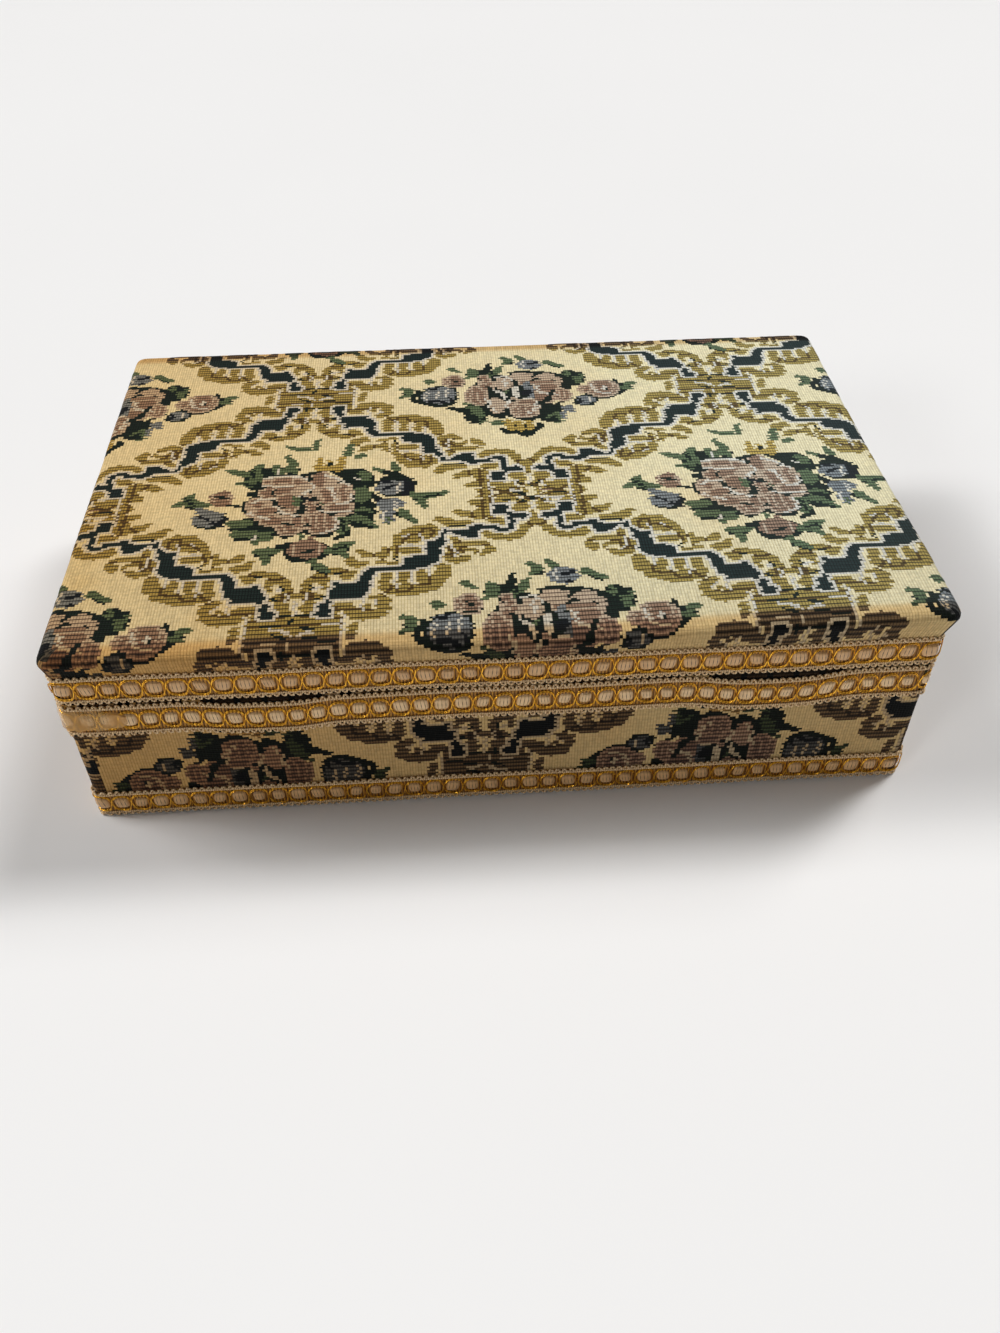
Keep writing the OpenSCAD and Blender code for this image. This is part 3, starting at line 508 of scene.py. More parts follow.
WIDE_BOUQUET = (
    ("dark_green", None, (
        (5.0, -3.4, 12.6, 9.6), (1.2, 9.0, 7.6, 9.0), (-10.6, 2.0, 6.4, 9.6), (-7.0, 9.4, 4.4, 6.8),
        (26.8, 1.0, 6.2, 5.6), (-26.0, 1.6, 6.6, 6.6), (-21.0, -7.2, 3.6, 4.2), (8.8, 13.8, 4.6, 5.8),
        (18.0, -7.4, 4.4, 5.0), (-14.6, 12.6, 4.0, 6.4), (20.8, 7.4, 3.8, 3.4),
        [(-14.6, -12.0, 2.4), (-9.6, -12.6, 2.2), (-7.0, -10.0, 2.0)], [(-1.4, 24.0, 1.4), (3.0, 24.4, 1.2)],
        [(-36.4, -0.6, 1.6), (-33.6, 0.6, 1.4)], [(33.6, 1.6, 1.4), (36.4, 0.0, 1.0)],
        [(-2.6, -19.4, 1.0), (-0.8, -18.4, 0.8)], [(10.4, -17.6, 0.8), (14.4, -15.2, 0.8)],
    )),
    ("green", None, (
        [(-16.4, 9.4, 0.9), (-13.0, 13.0, 1.2), (-12.4, 18.0, 0.8)], [(8.0, 12.6, 0.6), (12.0, 15.6, 0.7)],
        [(7.8, 16.4, 0.6), (10.8, 17.0, 0.6)], [(15.6, -9.6, 0.7), (20.4, -6.6, 0.9)], [(18.2, -4.6, 0.5), (21.4, -4.2, 0.5)],
        [(-9.8, -13.4, 0.6), (-8.8, -9.6, 0.6)],
        [(-3.8, -22.8, 1.2), (-1.8, -20.6, 1.6), (-3.8, -18.8, 0.9)],
        [(1.2, -23.4, 1.1), (2.4, -21.6, 1.3)],
        [(10.4, -19.0, 1.3), (13.0, -17.2, 1.3), (15.6, -15.4, 0.9)],
        [(-15.0, -14.4, 1.7), (-14.4, -11.6, 1.8), (-16.2, -9.6, 1.0)],
        [(-5.4, -16.0, 1.1), (-6.4, -13.6, 1.5), (-6.2, -11.4, 0.8)],
        [(-21.8, -16.2, 1.3), (-19.6, -14.2, 1.1)],
        (-29.0, -8.0, 2.0, 1.7),
        [(-38.4, -4.2, 0.9), (-35.4, -2.6, 1.6), (-36.0, 0.4, 1.2), (-38.0, 1.4, 0.8)],
        [(34.0, -1.2, 1.5), (37.6, -2.8, 1.0)],
        [(34.0, 0.4, 1.0), (36.4, 1.0, 0.9)],
        [(16.6, -12.0, 0.8), (17.4, -9.6, 0.9)],
        [(19.2, -5.6, 1.8), (20.6, -8.4, 1.2), (22.4, -9.2, 0.6)],
        [(-14.4, 9.8, 1.8), (-13.8, 14.4, 2.0), (-13.4, 17.4, 1.2)],
        [(-18.6, 6.8, 0.5), (-15.6, 7.0, 0.6)],
        [(-9.0, 18.6, 1.5), (-6.8, 18.8, 1.3)],
        [(10.0, 14.8, 1.5), (11.4, 19.2, 1.3)],
        [(-4.2, -0.4, 1.0), (-5.2, 1.6, 0.9)],
    )),
    ("dark_green", None, (
        [(-8.6, -18.4, 0.9), (-9.6, -14.6, 1.4), (-10.4, -11.8, 0.9), (-12.0, -9.4, 0.6)],
        [(-6.4, -10.0, 1.2), (-8.0, -7.2, 1.0)],
        [(-13.2, -6.8, 0.6), (-13.4, -4.8, 0.6)],
        [(-34.4, 2.6, 0.9), (-33.0, 4.4, 1.0), (-30.0, 6.0, 1.1), (-27.0, 7.2, 0.9)],
        [(-33.0, -2.4, 0.9), (-32.4, -0.8, 0.6)],
        [(31.6, -4.8, 0.9), (33.0, -1.8, 1.3)],
        [(30.4, 4.4, 1.0), (32.6, 3.6, 0.9)],
        [(13.2, -9.8, 0.9), (14.6, -8.8, 0.8)],
        [(16.0, -8.4, 1.0), (16.6, -6.2, 1.6), (17.4, -3.6, 1.2), (19.6, -3.2, 0.6)],
        [(18.4, -8.6, 0.7), (20.8, -8.8, 0.6)],
        [(15.4, 0.2, 0.7), (16.6, 2.6, 0.8), (16.0, 5.0, 0.9), (12.8, 7.0, 0.9), (11.8, 9.6, 0.9)],
        [(-22.4, 9.2, 0.9), (-18.6, 10.2, 1.4), (-17.0, 13.0, 1.3), (-15.4, 16.6, 0.9), (-14.0, 18.4, 0.8)],
        [(7.0, 11.4, 0.9), (7.2, 14.6, 1.4), (10.0, 11.6, 1.3)],
        [(9.4, 16.2, 0.8), (10.6, 18.8, 0.7)],
        [(-6.8, 22.6, 1.0), (-5.4, 24.2, 0.9), (-1.4, 24.8, 0.9), (0.6, 26.4, 0.9), (2.8, 25.6, 0.9)],
        [(3.8, 23.2, 0.8), (5.2, 21.6, 1.2), (5.2, 19.8, 0.8)],
        [(-10.0, 4.0, 0.7), (-9.0, 2.0, 0.8), (-6.6, 1.0, 0.6)],
        [(-10.8, 4.6, 0.7), (-11.0, 9.0, 0.7), (-10.6, 13.4, 0.6)],
        [(-3.4, 8.0, 0.5), (-4.4, 12.0, 0.5), (-3.0, 15.6, 0.6)],
        [(1.6, 15.8, 0.7), (3.0, 18.0, 0.8)],
        [(5.4, 12.0, 0.6), (5.0, 16.0, 0.6)],
        [(-14.6, 15.0, 0.6), (-12.4, 16.6, 0.6)],
    )),
    ("yellow", None, (
        [(-4.8, 18.2, 1.5), (-3.8, 22.4, 1.5)],
        [(-1.6, 19.4, 1.5), (-1.0, 23.0, 1.4)],
        [(1.8, 18.8, 1.2), (1.6, 22.8, 1.3)],
        [(-4.6, 21.0, 1.2), (2.2, 21.0, 1.2)],
    )),
    ("dark_green", None, ([(-2.8, 20.2, 0.4), (-2.8, 21.6, 0.4)], [(0.2, 20.6, 0.4), (0.2, 22.4, 0.4)])),
    ("blue", None, (
        (4.6, -17.4, 4.2, 3.6), (-26.0, 0.8, 5.4, 5.6), (20.8, 6.9, 3.0, 2.7),
        [(14.6, 11.4, 1.8), (15.8, 13.0, 1.4)], [(13.0, 14.0, 1.0), (12.8, 17.2, 0.9)],
    )),
    ("navy", None, (
        [(5.6, -17.8, 1.0), (7.4, -18.6, 0.7)], [(5.6, -14.8, 0.6), (6.8, -14.6, 0.5)],
        [(-28.4, -3.0, 0.8), (-26.6, -3.6, 0.8)], [(-24.4, 5.0, 0.8), (-28.4, 4.4, 0.8)],
        [(-22.4, 2.8, 0.5), (-21.4, 5.0, 0.5)], [(18.4, 6.4, 0.5), (19.4, 8.6, 0.5)],
    )),
    ("pale", None, (
        [(2.6, -19.6, 0.35), (2.6, -15.8, 0.35)], [(-30.0, -1.0, 0.35), (-30.0, 3.4, 0.35)],
        [(-26.2, -1.0, 0.35), (-26.2, 3.0, 0.35)], [(-23.6, -2.4, 0.35), (-23.6, 2.0, 0.35)],
        [(21.6, 5.4, 0.35), (21.6, 8.6, 0.35)],
    )),
    ("rose", "pink", (
        (-21.0, -7.6, 2.8, 3.4), (27.4, 0.2, 4.6, 4.8), (21.6, 0.2, 1.6, 2.0), (-13.8, 2.0, 3.0, 5.4),
        [(-10.8, -9.0, 1.2), (-10.6, -3.0, 1.5)], (9.0, -1.0, 3.6, 5.0), (7.6, 4.6, 3.2, 2.8),
        [(1.2, -5.4, 0.9), (11.0, -5.4, 0.9)], (0.8, 9.0, 4.4, 3.2), (13.9, 3.4, 2.2, 3.2),
        (1.0, 12.4, 3.6, 3.6),
    )),
    ("pink", None, (
        (1.6, -9.2, 3.9, 3.0), (9.8, -8.8, 3.5, 2.3), (13.2, -5.2, 1.3, 3.2), (-4.8, -5.0, 3.2, 4.0),
        (-7.6, 8.6, 2.5, 5.2), [(-1.8, 5.0, 1.2), (-1.6, 9.0, 0.7)],
        [(-0.8, 10.0, 0.4), (-0.8, 15.6, 0.4)], [(1.6, 9.6, 0.4), (1.6, 15.0, 0.4)], [(3.8, 9.4, 0.4), (3.8, 14.0, 0.4)],
        [(13.2, 1.4, 0.4), (13.2, 5.8, 0.4)], [(14.8, 1.8, 0.4), (14.8, 5.0, 0.4)],
        [(-15.4, -1.0, 0.4), (-15.4, 5.0, 0.4)], [(-13.4, 0.6, 0.4), (-13.4, 6.4, 0.4)],
        [(-11.8, -8.2, 0.4), (-11.2, -5.0, 0.4)], [(25.0, -4.0, 0.4), (25.0, 3.0, 0.4)],
        [(20.8, -1.6, 0.4), (21.0, 2.0, 0.4)], [(30.6, -2.6, 0.4), (30.6, 2.4, 0.4)],
        [(-22.4, -10.2, 0.4), (-22.6, -5.4, 0.4)],
    )),
    ("blue", None, ([(2.4, -4.8, 1.1), (3.4, 0.0, 1.6), (4.2, 4.4, 1.0)],)),
    ("pale", None, (
        [(-1.4, -1.6, 1.2), (-0.8, 1.8, 1.0), (-0.6, 3.8, 0.7)], [(-4.6, -7.6, 0.5), (-4.0, -3.6, 0.5)],
        [(2.0, 4.8, 0.5), (4.0, 5.0, 0.5)], [(27.8, -0.6, 0.6), (27.8, 0.6, 0.6)],
        [(-6.8, -9.2, 0.4), (-3.4, -10.4, 0.5), (-2.0, -7.0, 0.4)],
        [(-8.8, -1.4, 0.4), (-5.4, 0.8, 0.5), (-4.0, 5.2, 0.5), (-4.8, 9.8, 0.4)],
        [(5.6, -3.8, 0.4), (6.8, 1.4, 0.5), (12.2, 3.0, 0.4)],
        [(4.9, 7.0, 0.4), (5.4, 10.2, 0.5), (1.8, 13.8, 0.4)],
        [(-10.8, 3.6, 0.4), (-10.2, 8.6, 0.5), (-8.2, 12.4, 0.4)],
        [(23.4, -2.4, 0.4), (25.8, 2.8, 0.4), (29.6, 3.6, 0.4)],
    )),
    ("navy", None, ((2.5, 1.3, 2.0, 1.8),)),
    ("dark_green", None, (
        [(11.6, 0.4, 0.6), (10.2, 3.8, 0.9), (8.2, 6.4, 1.1), (6.2, 7.4, 0.8)],
        [(-2.4, -12.0, 0.4), (-0.4, -12.7, 0.5), (3.6, -12.7, 0.5), (5.4, -11.4, 0.5), (5.9, -9.4, 0.5)],
        [(6.6, -11.0, 0.4), (8.6, -11.5, 0.5), (11.8, -11.3, 0.6)],
        [(5.0, -6.8, 0.5), (5.4, -6.2, 0.4)], [(11.8, -6.0, 0.5), (12.2, -5.2, 0.4)],
        [(-12.2, -9.4, 0.4), (-12.6, -7.6, 0.4)], [(-9.8, -3.0, 0.8), (-9.4, -0.6, 0.7)],
        [(-3.4, 3.8, 0.9), (-2.6, 6.4, 0.6)], [(28.6, 1.0, 0.5), (29.2, 0.0, 0.4)],
        [(-21.0, -8.0, 0.8), (-20.6, -7.2, 0.7)], [(-19.6, -4.6, 0.4), (-22.4, -5.0, 0.4)],
        [(5.4, 8.2, 0.4), (9.0, 8.4, 0.4)],
    )),
)


def make_chart():
    """One repeat of the brocade: the yarn of each stitch, by row down and column right from a crossing."""
    chart, right, down = blank_chart()
    paint_trellis(chart, right, down)
    places = (
        (ROUND_BOUQUET, 0.2, REPEAT_D / 2 - 0.5),
        (WIDE_BOUQUET, REPEAT_W / 2 + 0.7, 0.0),
    )
    for bouquet, x, y in places:
        for yarn, edge, shapes in bouquet:
            paint(chart, wrapped(right - x, REPEAT_W), wrapped(down - y, REPEAT_D), yarn, shapes, edge)
    return chart


CHART = make_chart()


def yarn_at(right, down):
    """The yarn at places right and down from a crossing, in stitches."""
    return CHART[np.floor(down).astype(int) % ROWS, np.floor(right).astype(int) % COLUMNS]


# Meshes


def new_piece(name, points, quads, materials, uv=None, face_material=None, stitches=None, smooth=True):
    """An object from points in millimetres and faces of four corners. A face that repeats a corner is a triangle."""
    quads = np.asarray(quads)
    points, index = np.unique(np.round(np.asarray(points), 5), axis=0, return_inverse=True)
    quads = index.reshape(-1)[quads]
    keep = np.ones(quads.shape, bool)
    for k in range(4):
        keep[:, k] = quads[:, k] != quads[:, (k + 1) % 4]
    corners = keep.sum(axis=1)
    opposite = (quads[:, 0] == quads[:, 2]) | (quads[:, 1] == quads[:, 3])
    real = (corners >= 3) & ~opposite
    quads, keep, corners = quads[real], keep[real], corners[real]
    mesh = bpy.data.meshes.new(name)
    mesh.vertices.add(len(points))
    mesh.vertices.foreach_set("co", (points * MM).ravel())
    loops = quads[keep]
    mesh.loops.add(len(loops))
    mesh.loops.foreach_set("vertex_index", loops.astype(np.int32))
    mesh.polygons.add(len(quads))
    starts = np.concatenate([[0], np.cumsum(corners)[:-1]])
    mesh.polygons.foreach_set("loop_start", starts.astype(np.int32))
    mesh.polygons.foreach_set("use_smooth", np.full(len(quads), smooth))
    if face_material is not None:
        mesh.polygons.foreach_set("material_index", np.asarray(face_material)[real].astype(np.int32))
    mesh.update(calc_edges=True)
    if uv is not None:
        layer = mesh.uv_layers.new(name="cloth")
        layer.data.foreach_set("uv", np.asarray(uv)[real][keep].ravel().astype(np.float32))
    if stitches is not None:
        layer = mesh.attributes.new("stitch", "FLOAT", "FACE")
        values = (np.asarray(stitches)[real] + 0.5) / YARN_STEPS
        layer.data.foreach_set("value", values.astype(np.float32))
    for material in materials:
        mesh.materials.append(material)
    piece = bpy.data.objects.new(name, mesh)
    bpy.context.collection.objects.link(piece)
    return piece


def grid_quads(rows, columns, start=0):
    """Faces of a grid of points with the given counts of faces, points row by row."""
    r, c = np.meshgrid(np.arange(rows), np.arange(columns), indexing="ij")
    first = (start + r * (columns + 1) + c).ravel()
    return np.stack([first, first + 1, first + columns + 2, first + columns + 1], axis=1)


def corner_values(grid):
    """Values on a grid of points, as the four corners of each of its faces."""
    return np.stack([grid[:-1, :-1], grid[:-1, 1:], grid[1:, 1:], grid[1:, :-1]], axis=2).reshape(-1, 4, *grid.shape[2:])


class Patches:
    """Grids of points gathered into one mesh."""

    def __init__(self):
        self.points, self.quads, self.uv, self.extra, self.count = [], [], [], [], 0

    def add(self, points, uv=None, extra=0):
        """points is rows by columns by 3. extra is one number for every face, or one per face."""
        rows, columns = points.shape[0] - 1, points.shape[1] - 1
        self.points.append(points.reshape(-1, 3))
        self.quads.append(grid_quads(rows, columns, self.count))
        self.count += points.shape[0] * points.shape[1]
        if uv is None:
            uv = np.zeros(points.shape[:2] + (2,))
        self.uv.append(corner_values(uv))
        self.extra.append(np.broadcast_to(np.asarray(extra).ravel(), rows * columns) if np.ndim(extra)
                          else np.full(rows * columns, extra))

    def piece(self, name, materials, **more):
        return new_piece(name, np.concatenate(self.points), np.concatenate(self.quads), materials,
                         uv=np.concatenate(self.uv), **more)

    def faces(self):
        return np.concatenate(self.extra)


# Material nodes


def linear(value):
    """One channel of a screen colour, 0 to 255, as linear light."""
    value = value / 255
    return value / 12.92 if value <= 0.04045 else ((value + 0.055) / 1.055) ** 2.4


def colour(red, green, blue):
    return (linear(red), linear(green), linear(blue), 1.0)


class Graph:
    """A material's nodes, with short names for the kinds used here."""

    def __init__(self, name, roughness=0.8, metallic=0.0, sheen=0.0, specular=0.3):
        self.material = bpy.data.materials.new(name)
        self.material.use_nodes = True
        self.nodes = self.material.node_tree.nodes
        self.links = self.material.node_tree.links
        self.shader = self.nodes["Principled BSDF"]
        self.shader.inputs["Roughness"].default_value = roughness
        self.shader.inputs["Metallic"].default_value = metallic
        self.shader.inputs["Sheen Weight"].default_value = sheen
        self.shader.inputs["Specular IOR Level"].default_value = specular

    def feed(self, socket, value):
        if isinstance(value, bpy.types.NodeSocket):
            self.links.new(value, socket)
        else:
            socket.default_value = value

    def math(self, operation, a, b=0.0, clamp=False):
        node = self.nodes.new("ShaderNodeMath")
        node.operation = operation
        node.use_clamp = clamp
        self.feed(node.inputs[0], a)
        self.feed(node.inputs[1], b)
        return node.outputs[0]

    def mix(self, share, a, b, kind="MIX"):
        node = self.nodes.new("ShaderNodeMix")
        node.data_type = "RGBA"
        node.blend_type = kind
        node.clamp_factor = True
        self.feed(node.inputs["Factor"], share)
        self.feed(node.inputs["A"], a)
        self.feed(node.inputs["B"], b)
        return next(o for o in node.outputs if o.type == "RGBA")

    def stretch(self, value, low, high, to_low=0.0, to_high=1.0):
        node = self.nodes.new("ShaderNodeMapRange")
        node.interpolation_type = "SMOOTHSTEP"
        self.feed(node.inputs["Value"], value)
        for name, number in (("From Min", low), ("From Max", high), ("To Min", to_low), ("To Max", to_high)):
            node.inputs[name].default_value = number
        return node.outputs["Result"]

    def place(self):
        """Object coordinates, in metres."""
        return self.nodes.new("ShaderNodeTexCoord").outputs["Object"]

    def cloth(self):
        """The cloth's own coordinates, in stitches across and along."""
        node = self.nodes.new("ShaderNodeUVMap")
        node.uv_map = "cloth"
        split = self.nodes.new("ShaderNodeSeparateXYZ")
        self.links.new(node.outputs[0], split.inputs[0])
        return node.outputs[0], split.outputs[0], split.outputs[1]

    def height(self):
        split = self.nodes.new("ShaderNodeSeparateXYZ")
        self.links.new(self.place(), split.inputs[0])
        return split.outputs[0], split.outputs[1], split.outputs[2]

    def attribute(self, name):
        node = self.nodes.new("ShaderNodeAttribute")
        node.attribute_name = name
        return node.outputs["Fac"]

    def noise(self, vector, scale, detail=3.0, stretch=(1.0, 1.0, 1.0)):
        mapping = self.nodes.new("ShaderNodeMapping")
        mapping.inputs["Scale"].default_value = stretch
        self.links.new(vector, mapping.inputs["Vector"])
        node = self.nodes.new("ShaderNodeTexNoise")
        node.inputs["Scale"].default_value = scale
        node.inputs["Detail"].default_value = detail
        self.links.new(mapping.outputs[0], node.inputs["Vector"])
        return node.outputs["Fac"]

    def steps(self, value, colours):
        """Colours by yarn number, held flat from step to step."""
        node = self.nodes.new("ShaderNodeValToRGB")
        node.color_ramp.interpolation = "CONSTANT"
        ramp = node.color_ramp.elements
        ramp[0].color = colours[0]
        ramp.remove(ramp[1])
        for k, each in enumerate(colours[1:], 1):
            ramp.new(k / YARN_STEPS).color = each
        self.feed(node.inputs[0], value)
        return node.outputs["Color"]

    def bump(self, height, strength, distance):
        node = self.nodes.new("ShaderNodeBump")
        node.inputs["Strength"].default_value = strength
        node.inputs["Distance"].default_value = distance
        self.links.new(height, node.inputs["Height"])
        self.links.new(node.outputs[0], self.shader.inputs["Normal"])

    def paint(self, value):
        self.feed(self.shader.inputs["Base Color"], value)


# Colours of each yarn: the thread, the gap beside it across the cloth, and the gap along the cloth, with how
# much of each gap shows
YARN_COLOURS = {
    "cream": ((243, 236, 198), (208, 191, 142), (208, 190, 144), 0.72, 0.24),
    "gold": ((188, 168, 92), (92, 77, 36), (31, 26, 14), 0.66, 0.95),
    "pale": ((234, 233, 222), (153, 153, 144), (86, 86, 82), 0.40, 0.52),
    "ribbon": ((30, 48, 48), (8, 16, 17), (4, 8, 9), 0.90, 0.60),
    "rose": ((170, 142, 120), (74, 52, 44), (24, 16, 13), 0.64, 0.96),
    "pink": ((218, 200, 176), (134, 110, 92), (52, 38, 31), 0.54, 0.84),
    "green": ((108, 128, 94), (40, 60, 42), (9, 18, 12), 0.58, 0.90),
    "dark_green": ((20, 36, 28), (7, 14, 10), (4, 7, 6), 0.50, 0.70),
    "blue": ((144, 153, 158), (66, 73, 80), (13, 16, 21), 0.62, 0.94),
    "navy": ((20, 27, 34), (10, 14, 18), (5, 7, 10), 0.50, 0.70),
    "yellow": ((210, 184, 98), (116, 94, 40), (38, 29, 14), 0.60, 0.94),
    "brown": ((104, 84, 42), (62, 48, 24), (20, 15, 9), 0.50, 0.85),
}


# The same on the sides, as a shaded copy: painted shade greys the gilt yarn and darkens the gaps
SHADED_SIDE_COLOURS = {
    "cream": ((244, 232, 190), (206, 184, 134), (204, 182, 132)),
    "gold": ((140, 122, 98), (50, 39, 28), (10, 8, 6)),
    "pale": ((226, 216, 194), (140, 130, 110), (50, 42, 34)),
    "ribbon": ((12, 18, 20), (5, 8, 9), (3, 4, 5)),
    "rose": ((158, 132, 122), (38, 26, 24), (9, 6, 6)),
    "pink": ((200, 172, 156), (80, 58, 50), (24, 16, 14)),
    "green": ((78, 98, 74), (25, 37, 27), (6, 10, 8)),
    "dark_green": ((20, 32, 26), (6, 11, 8), (3, 5, 4)),
    "blue": ((106, 114, 124), (42, 47, 52), (10, 12, 16)),
    "navy": ((18, 23, 30), (8, 11, 14), (4, 5, 7)),
    "yellow": ((208, 178, 120), (110, 84, 44), (30, 22, 12)),
    "brown": ((70, 58, 44), (36, 29, 20), (12, 9, 6)),
}


def brocade(name, tint=(1.0, 1.0, 1.0), shaded_below=None):
    """The woven cloth. tint multiplies it all. The lid's sides lie below the height shaded_below, in metres."""
    g = Graph(name, roughness=0.9, sheen=0.04, specular=0.10)
    cloth, across, along = g.cloth()
    yarn = g.attribute("stitch")
    x, y, z = g.height()
    side = 1.0
    if shaded_below is not None:
        below = g.stretch(z, shaded_below - 0.003, shaded_below, 1.0, 0.0)
        front_or_back = g.stretch(g.math("ABSOLUTE", y), (HALF_D - 5.0) * MM, (HALF_D - 2.0) * MM)
        side = g.math("MAXIMUM", below, front_or_back)
    # Painted shade: on the lid's sides and on the base every yarn takes its shaded colours
    thread, gap_x, gap_y = (
        g.mix(side, g.steps(yarn, [colour(*YARN_COLOURS[n][k]) for n in YARNS]),
              g.steps(yarn, [colour(*SHADED_SIDE_COLOURS[n][k]) for n in YARNS]))
        for k in range(3)
    )
    shows = g.steps(yarn, [(YARN_COLOURS[n][3], YARN_COLOURS[n][4], 0.0, 1.0) for n in YARNS])
    split = g.nodes.new("ShaderNodeSeparateColor")
    g.links.new(shows, split.inputs[0])
    ridge_x = g.math("ABSOLUTE", g.math("SUBTRACT", g.math("FRACT", across), 0.5))
    ridge_y = g.math("ABSOLUTE", g.math("SUBTRACT", g.math("FRACT", along), 0.5))
    in_gap_x = g.stretch(ridge_x, 0.26, 0.48)
    in_gap_y = g.stretch(ridge_y, 0.24, 0.48)
    pair = g.math("ABSOLUTE", g.math("SUBTRACT", g.math("FRACT", g.math("MULTIPLY", along, 0.5)), 0.5))
    # Painted shade: on the sides the dark lines between pairs of rows are drawn wider
    between_pairs = g.math("MAXIMUM", g.stretch(pair, 0.22, 0.40), g.math("MULTIPLY", side, g.stretch(pair, 0.08, 0.30)))
    dark_line = g.math("ADD", g.math("MULTIPLY", between_pairs, 0.75), g.math("MULTIPLY", in_gap_y, 0.25))
    tone = g.mix(g.math("MULTIPLY", in_gap_x, split.outputs[0]), thread, gap_x)
    tone = g.mix(g.math("MULTIPLY", dark_line, split.outputs[1]), tone, gap_y)
    # Each stitch, and each stretch of yarn, is a little lighter or darker
    cell = g.nodes.new("ShaderNodeVectorMath")
    cell.operation = "FLOOR"
    g.links.new(cloth, cell.inputs[0])
    chance = g.nodes.new("ShaderNodeTexWhiteNoise")
    chance.noise_dimensions = "2D"
    g.links.new(cell.outputs[0], chance.inputs["Vector"])
    uneven = g.noise(cloth, 0.9, 3.0, (1.0, 0.12, 1.0))
    light = g.math("ADD", g.stretch(chance.outputs["Value"], 0.0, 1.0, 0.90, 1.06),
                   g.stretch(uneven, 0.3, 0.7, -0.06, 0.06))
    if shaded_below is not None:
        # Painted shade: the top is drawn darker towards its front edge
        painted_shade_to_front = g.math("MULTIPLY", g.stretch(y, -0.076, 0.0, -0.14, 0.0), g.math("SUBTRACT", 1.0, side))
        light = g.math("ADD", light, painted_shade_to_front)
        # Painted sheen: the top's right part is drawn paler and cooler, as if it caught the light
        painted_sheen = g.math("MULTIPLY", g.stretch(x, -0.02, 0.115, 0.0, 0.025), g.math("SUBTRACT", 1.0, side))
        tone = g.mix(painted_sheen, tone, colour(206, 226, 226))
    shade = g.nodes.new("ShaderNodeCombineColor")
    for socket in shade.inputs[:3]:
        g.links.new(light, socket)
    tone = g.mix(1.0, tone, shade.outputs[0], "MULTIPLY")
    # Warm stains of age, large and faint, and painted shade that draws the left part warmer and darker
    age = g.noise(g.place(), 14.0, 4.0)
    painted_shade_to_left = g.stretch(x, -0.125, 0.09, 0.75, 0.0)
    stains_and_shade = g.math("ADD", g.stretch(age, 0.48, 0.74, 0.0, 0.40), painted_shade_to_left, clamp=True)
    tone = g.mix(stains_and_shade, tone, g.mix(1.0, tone, colour(236, 202, 156), "MULTIPLY"))
    if tint != (1.0, 1.0, 1.0):
        tone = g.mix(1.0, tone, (*tint, 1.0), "MULTIPLY")
    if shaded_below is not None:
        # Painted shade: the lid's sides are drawn darker and warmer than its top
        tone = g.mix(side, tone, g.mix(1.0, tone, (*SIDE_SHADE, 1.0), "MULTIPLY"))
    g.paint(tone)
    threads = g.math("ADD", g.math("MULTIPLY", in_gap_x, -0.7), g.math("MULTIPLY", in_gap_y, -0.5))
    fibre = g.noise(cloth, 3.2, 4.0, (1.0, 3.0, 1.0))
    g.bump(g.math("ADD", threads, g.math("MULTIPLY", fibre, 0.5)), 0.7, 0.00022)
    return g.material


# Painted shade: the lid's sides and the whole base are multiplied darker and warmer than the lid's top
SIDE_SHADE = (0.76, 0.65, 0.51)


def braid_thread():
    """Beige twisted cord of the braid's edges."""
    g = Graph("braid_thread", roughness=0.7, sheen=0.3, specular=0.35)
    cloth, across, along = g.cloth()
    twist = g.math("SINE", g.math("MULTIPLY", g.math("ADD", across, along), 2 * math.pi))
    grain = g.noise(g.place(), 900.0, 3.0)
    tone = g.mix(g.stretch(twist, -1.0, 0.2), colour(192, 150, 100), colour(252, 220, 170))
    tone = g.mix(g.stretch(grain, 0.35, 0.7, 0.0, 0.35), tone, colour(176, 142, 104))
    g.paint(tone)
    g.bump(g.math("ADD", twist, grain), 0.5, 0.00012)
    return g.material


def braid_ground():
    """Gilt ground under the braid's links: fine upright ribs, dull with wear."""
    g = Graph("braid_ground", roughness=0.5, metallic=0.35, specular=0.4)
    cloth, across, along = g.cloth()
    rib = g.math("SINE", g.math("MULTIPLY", across, 2 * math.pi))
    worn = g.noise(g.place(), 140.0, 4.0)
    tone = g.mix(g.stretch(rib, -0.9, 0.7), colour(104, 66, 24), colour(206, 148, 62))
    tone = g.mix(g.stretch(worn, 0.4, 0.7, 0.0, 0.5), tone, colour(150, 108, 56))
    g.paint(tone)
    g.bump(rib, 0.6, 0.0002)
    return g.material


def braid_pad(name, thread, gap, roughness):
    """Pearly thread of the braid's pads, in upright bundles with pinholes between them."""
    g = Graph(name, roughness=roughness, sheen=0.15, specular=0.55)
    cloth, across, along = g.cloth()
    bundle = g.math("ABSOLUTE", g.math("SUBTRACT", g.math("FRACT", g.math("MULTIPLY", across, 4.0)), 0.5))
    between = g.stretch(bundle, 0.36, 0.5)
    middle = g.math("ABSOLUTE", g.math("SUBTRACT", along, 0.5))
    hole = g.math("MULTIPLY", g.stretch(bundle, 0.36, 0.48), g.stretch(middle, 0.06, 0.20, 1.0, 0.0))
    grain = g.noise(g.place(), 500.0, 3.0)
    tone = g.mix(between, colour(*thread), colour(*gap))
    tone = g.mix(g.stretch(grain, 0.4, 0.7, 0.0, 0.5), tone, g.mix(0.5, colour(*thread), colour(*gap)))
    tone = g.mix(g.math("MULTIPLY", hole, 0.9), tone, colour(48, 30, 18))
    edge = g.stretch(middle, 0.30, 0.5)
    tone = g.mix(g.math("MULTIPLY", edge, 0.6), tone, colour(128, 92, 56))
    g.paint(tone)
    g.bump(g.math("SUBTRACT", 1.0, between), 0.35, 0.00015)
    return g.material


